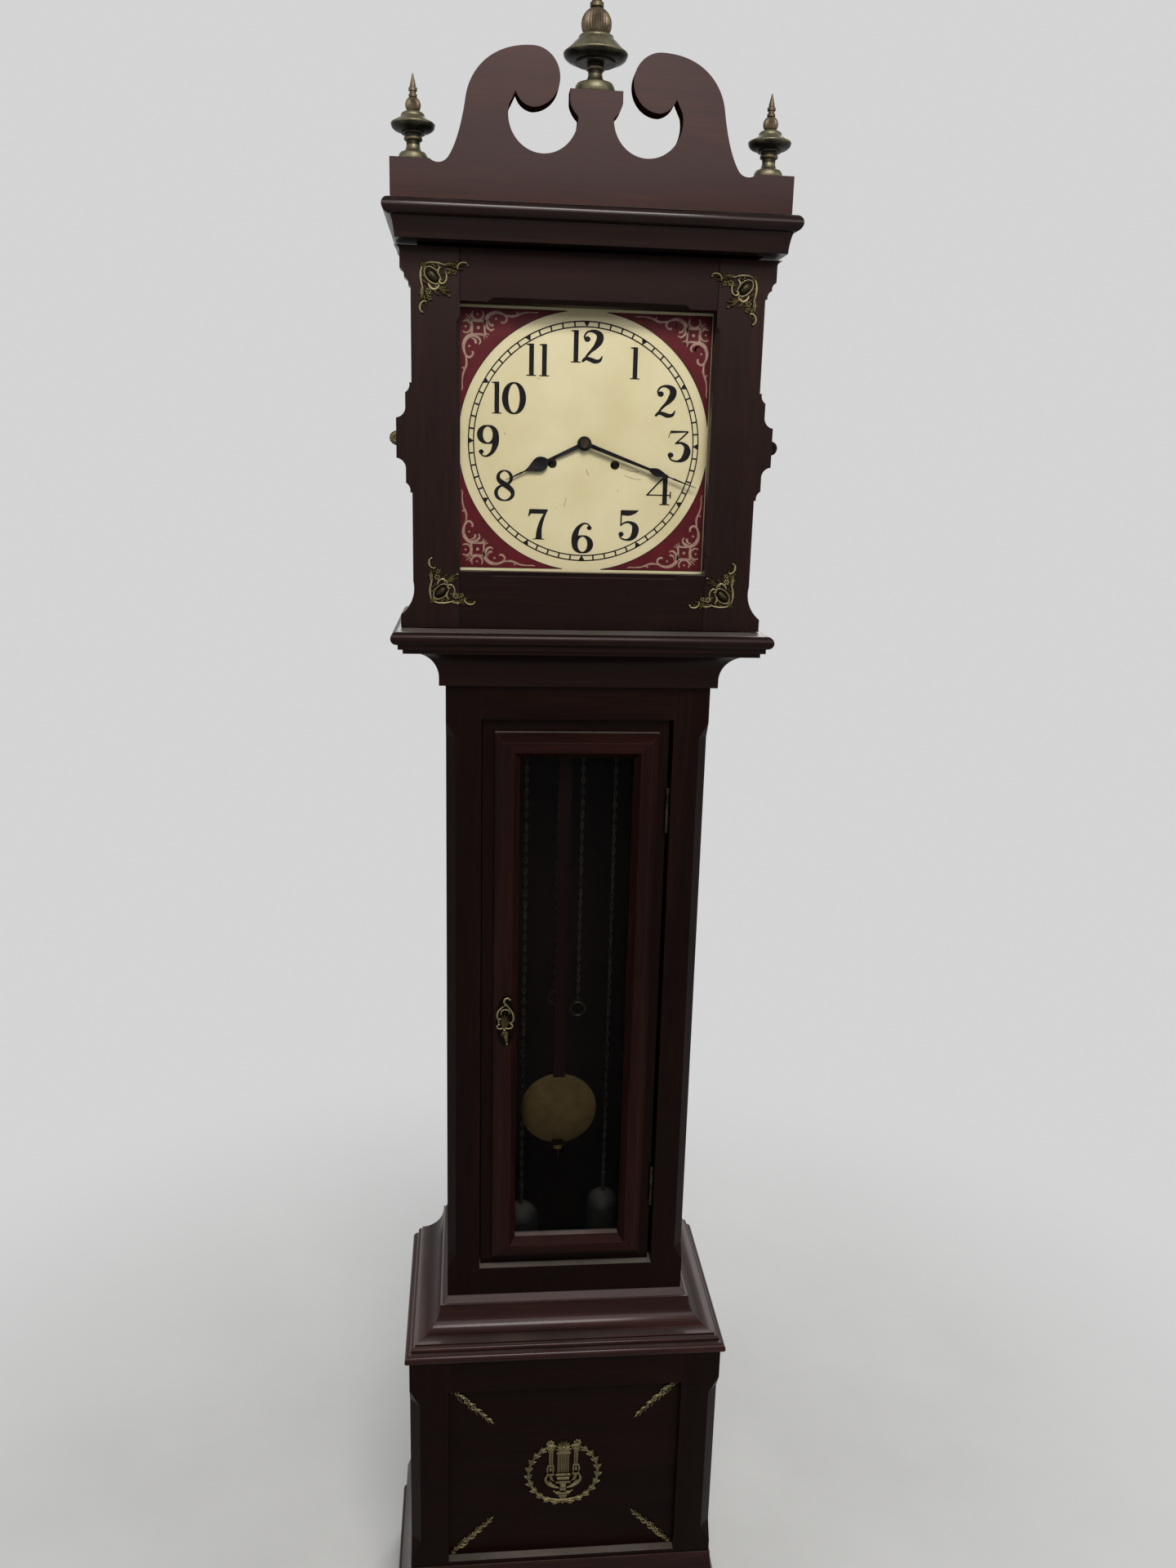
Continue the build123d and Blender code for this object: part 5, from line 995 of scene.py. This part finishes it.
def turned_finial(name, x, foot, sizes):
    verts, faces, kinds = [], [], []
    around, reeds = 120, 30
    profile = finial_profile(sizes)
    low, top = sizes[6][1], sizes[8][1]
    for kind, r, h in profile:
        for j in range(around):
            a = math.tau * j / around
            dip = 1.0
            if kind == 3:
                fade = max(0, math.sin(math.pi * (h - low) / (top - low)))
                dip = 1.0 - 0.08 * fade**0.5 * (0.5 - 0.5 * math.cos(reeds * a))
            verts.append((x + r * dip * math.cos(a), FINIAL_Y + r * dip * math.sin(a), foot + h))
    for quad in strips(len(profile), around, closed=True):
        row = quad[0] // around
        here, there = profile[row : row + 2]
        if here[1:] != there[1:]:
            faces.append(quad)
            kinds.append((0, 1, 2, 0)[there[0]])
    mats = [gilt_brown, umber, rubbed_brass]
    return piece(name, verts, faces, mats, "case", None, 42, False, kinds)


for made in (
    turned_finial("centre_finial", 0, 2161, CENTRE_FINIAL),
    turned_finial("left_finial", -199, 2085, SIDE_FINIAL),
    turned_finial("right_finial", 199, 2085, SIDE_FINIAL),
):
    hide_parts("finials")


# Chains
def link_chain(name, x, bottom, body):
    """Oval wire links, each turned a quarter from the last."""
    wire, pitch, side = 0.85, 8, 1.75
    count = round((SPROCKET_Z - bottom) / pitch)
    pitch = (SPROCKET_Z - bottom) / count
    turns, sides = 16, 6
    verts, faces = [], []
    for i in range(count):
        z_mid = SPROCKET_Z - (i + 0.5) * pitch
        long_half = pitch / 2 + wire * 0.9
        first = len(verts)
        for j in range(turns):
            a = math.tau * j / turns
            out = polar(a, long_half, side)
            out /= np.linalg.norm(out)
            for k in range(sides):
                b = math.tau * k / sides
                p, q = polar(a, side, long_half) + out * wire * math.cos(b)
                w = wire * math.sin(b)
                spot = (x + p, CHAIN_Y + w) if i % 2 else (x + w, CHAIN_Y + p)
                verts.append((*spot, z_mid + q))
        for quad in strips(turns + 1, sides, closed=True):
            quad = [first + v % (turns * sides) for v in quad]
            faces.append(quad if i % 2 else quad[::-1])
    return piece(name, verts, faces, [chain_metal], body, None, 60)


for side, sign, weight_top, ring_top in (("right", 1, 765, 1035), ("left", -1, 747, 1053)):
    hung = link_chain(f"{side}_weight_links", sign * WEIGHT_X, weight_top, "case")
    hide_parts(f"{side}_weight_chain")
    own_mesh(hung)
    free = link_chain(f"{side}_free_links", sign * PULL_X, ring_top, None)
    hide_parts(f"{side}_free_chain")
    spot = (sign * PULL_X * MM, CHAIN_Y * MM)
    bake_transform(free)


# Joints between the hood door's stiles and rails
verts, faces = [], []
for x in (-148, 148):
    for low, high in ((1573, 1640), (1944, 2000)):
        first = len(verts)
        for wide, proud in ((-0.6, 0), (0, 0.12), (0.6, 0)):
            verts += [(x + wide, HOOD_Y - proud, up) for up in (low, high)]
        faces += [(first, first + 2, first + 3, first + 1), (first + 2, first + 4, first + 5, first + 3)]
piece("door_joint_lines", verts, faces, [seam], "hood_door", None, 30, True)


# Studio
BACKGROUND = 0.66
WHITE, SKY = (1, 1, 1, 1), (0.9, 0.94, 1, 1)
SKY_LIGHT = 0.2


def pale_rays(tree):
    """A socket that is 1 on the rays that show the background."""
    path = tree.nodes.new("ShaderNodeLightPath")
    most = path.outputs["Is Camera Ray"]
    for kind in ("Is Glossy Ray", "Is Transmission Ray"):
        node = tree.nodes.new("ShaderNodeMath")
        node.operation = "MAXIMUM"
        tree.links.new(most, node.inputs[0])
        tree.links.new(path.outputs[kind], node.inputs[1])
        most = node.outputs[0]
    return most


def make_floor():
    mesh = bpy.data.meshes.new("floor")
    mesh.from_pydata([(-6, -6, 0), (6, -6, 0), (6, 6, 0), (-6, 6, 0)], [], [(0, 1, 2, 3)])
    s = Shade("pale_floor", {"Roughness": 0.8, "Specular IOR Level": 0.2})
    at = s.place()
    cloud = s.noise(at, 3, 4, 0.6)
    s.set("Base Color", s.ramp(cloud, [(0.3, rgb(196, 195, 192)), (0.7, rgb(204, 203, 200))]))
    reach = s.add("VectorMath", {0: at}, out="Value", operation="LENGTH")
    far = s.add("MapRange", {"Value": reach, "From Min": 0.35, "From Max": 1.9}, interpolation_type="SMOOTHSTEP")
    glow = s.add("Emission", {"Color": WHITE, "Strength": BACKGROUND})
    share = s.times(far, pale_rays(s.tree))
    mixed = s.add("MixShader", {0: share, 1: s.bsdf.outputs[0], 2: glow})
    s.tree.links.new(mixed, s.tree.nodes["Material Output"].inputs["Surface"])
    mesh.materials.append(s.mat)
    floor = bpy.data.objects.new("floor", mesh)
    scene.collection.objects.link(floor)


def make_world():
    world = bpy.data.worlds.new("studio")
    scene.world = world
    world.use_nodes = True
    tree = world.node_tree
    tree.nodes.clear()
    mix = tree.nodes.new("ShaderNodeMixShader")
    tree.links.new(pale_rays(tree), mix.inputs[0])
    for i, (colour, strength) in enumerate(((SKY, SKY_LIGHT), (WHITE, BACKGROUND))):
        plain = tree.nodes.new("ShaderNodeBackground")
        plain.inputs["Color"].default_value = colour
        plain.inputs["Strength"].default_value = strength
        tree.links.new(plain.outputs[0], mix.inputs[i + 1])
    tree.links.new(mix.outputs[0], tree.nodes.new("ShaderNodeOutputWorld").inputs[0])


make_floor()
make_world()
for name, spot, aim, size, watts, colour in (
    ("key", (0.1, -1.95, 3.4), 1.5, (0.8, 0.6), 50, (1, 0.985, 0.96)),
    ("front", (0.3, -2.8, 3.1), 1.6, (2.2, 1), 34, (1, 0.99, 0.98)),
    ("left", (-2.4, -1.4, 1.8), 1.1, (1.4, 2), 17, (0.96, 0.98, 1)),
    ("right", (2.4, -1, 1.8), 1.1, (1.4, 2), 17, (0.96, 0.98, 1)),
    ("back", (0.4, 2.4, 2.8), 1.2, (2, 1.6), 46, (1, 1, 1)),
):
    data = bpy.data.lights.new(name, "AREA")
    data.shape = "RECTANGLE"
    data.size, data.size_y = size
    data.energy, data.color = watts, colour
    lamp = bpy.data.objects.new(name, data)
    lamp.location = spot
    lamp.rotation_euler = (Vector((0, 0, aim)) - Vector(spot)).to_track_quat("-Z", "Y").to_euler()
    scene.collection.objects.link(lamp)

scene.view_settings.view_transform = "Standard"

bpy.context.view_layer.update()
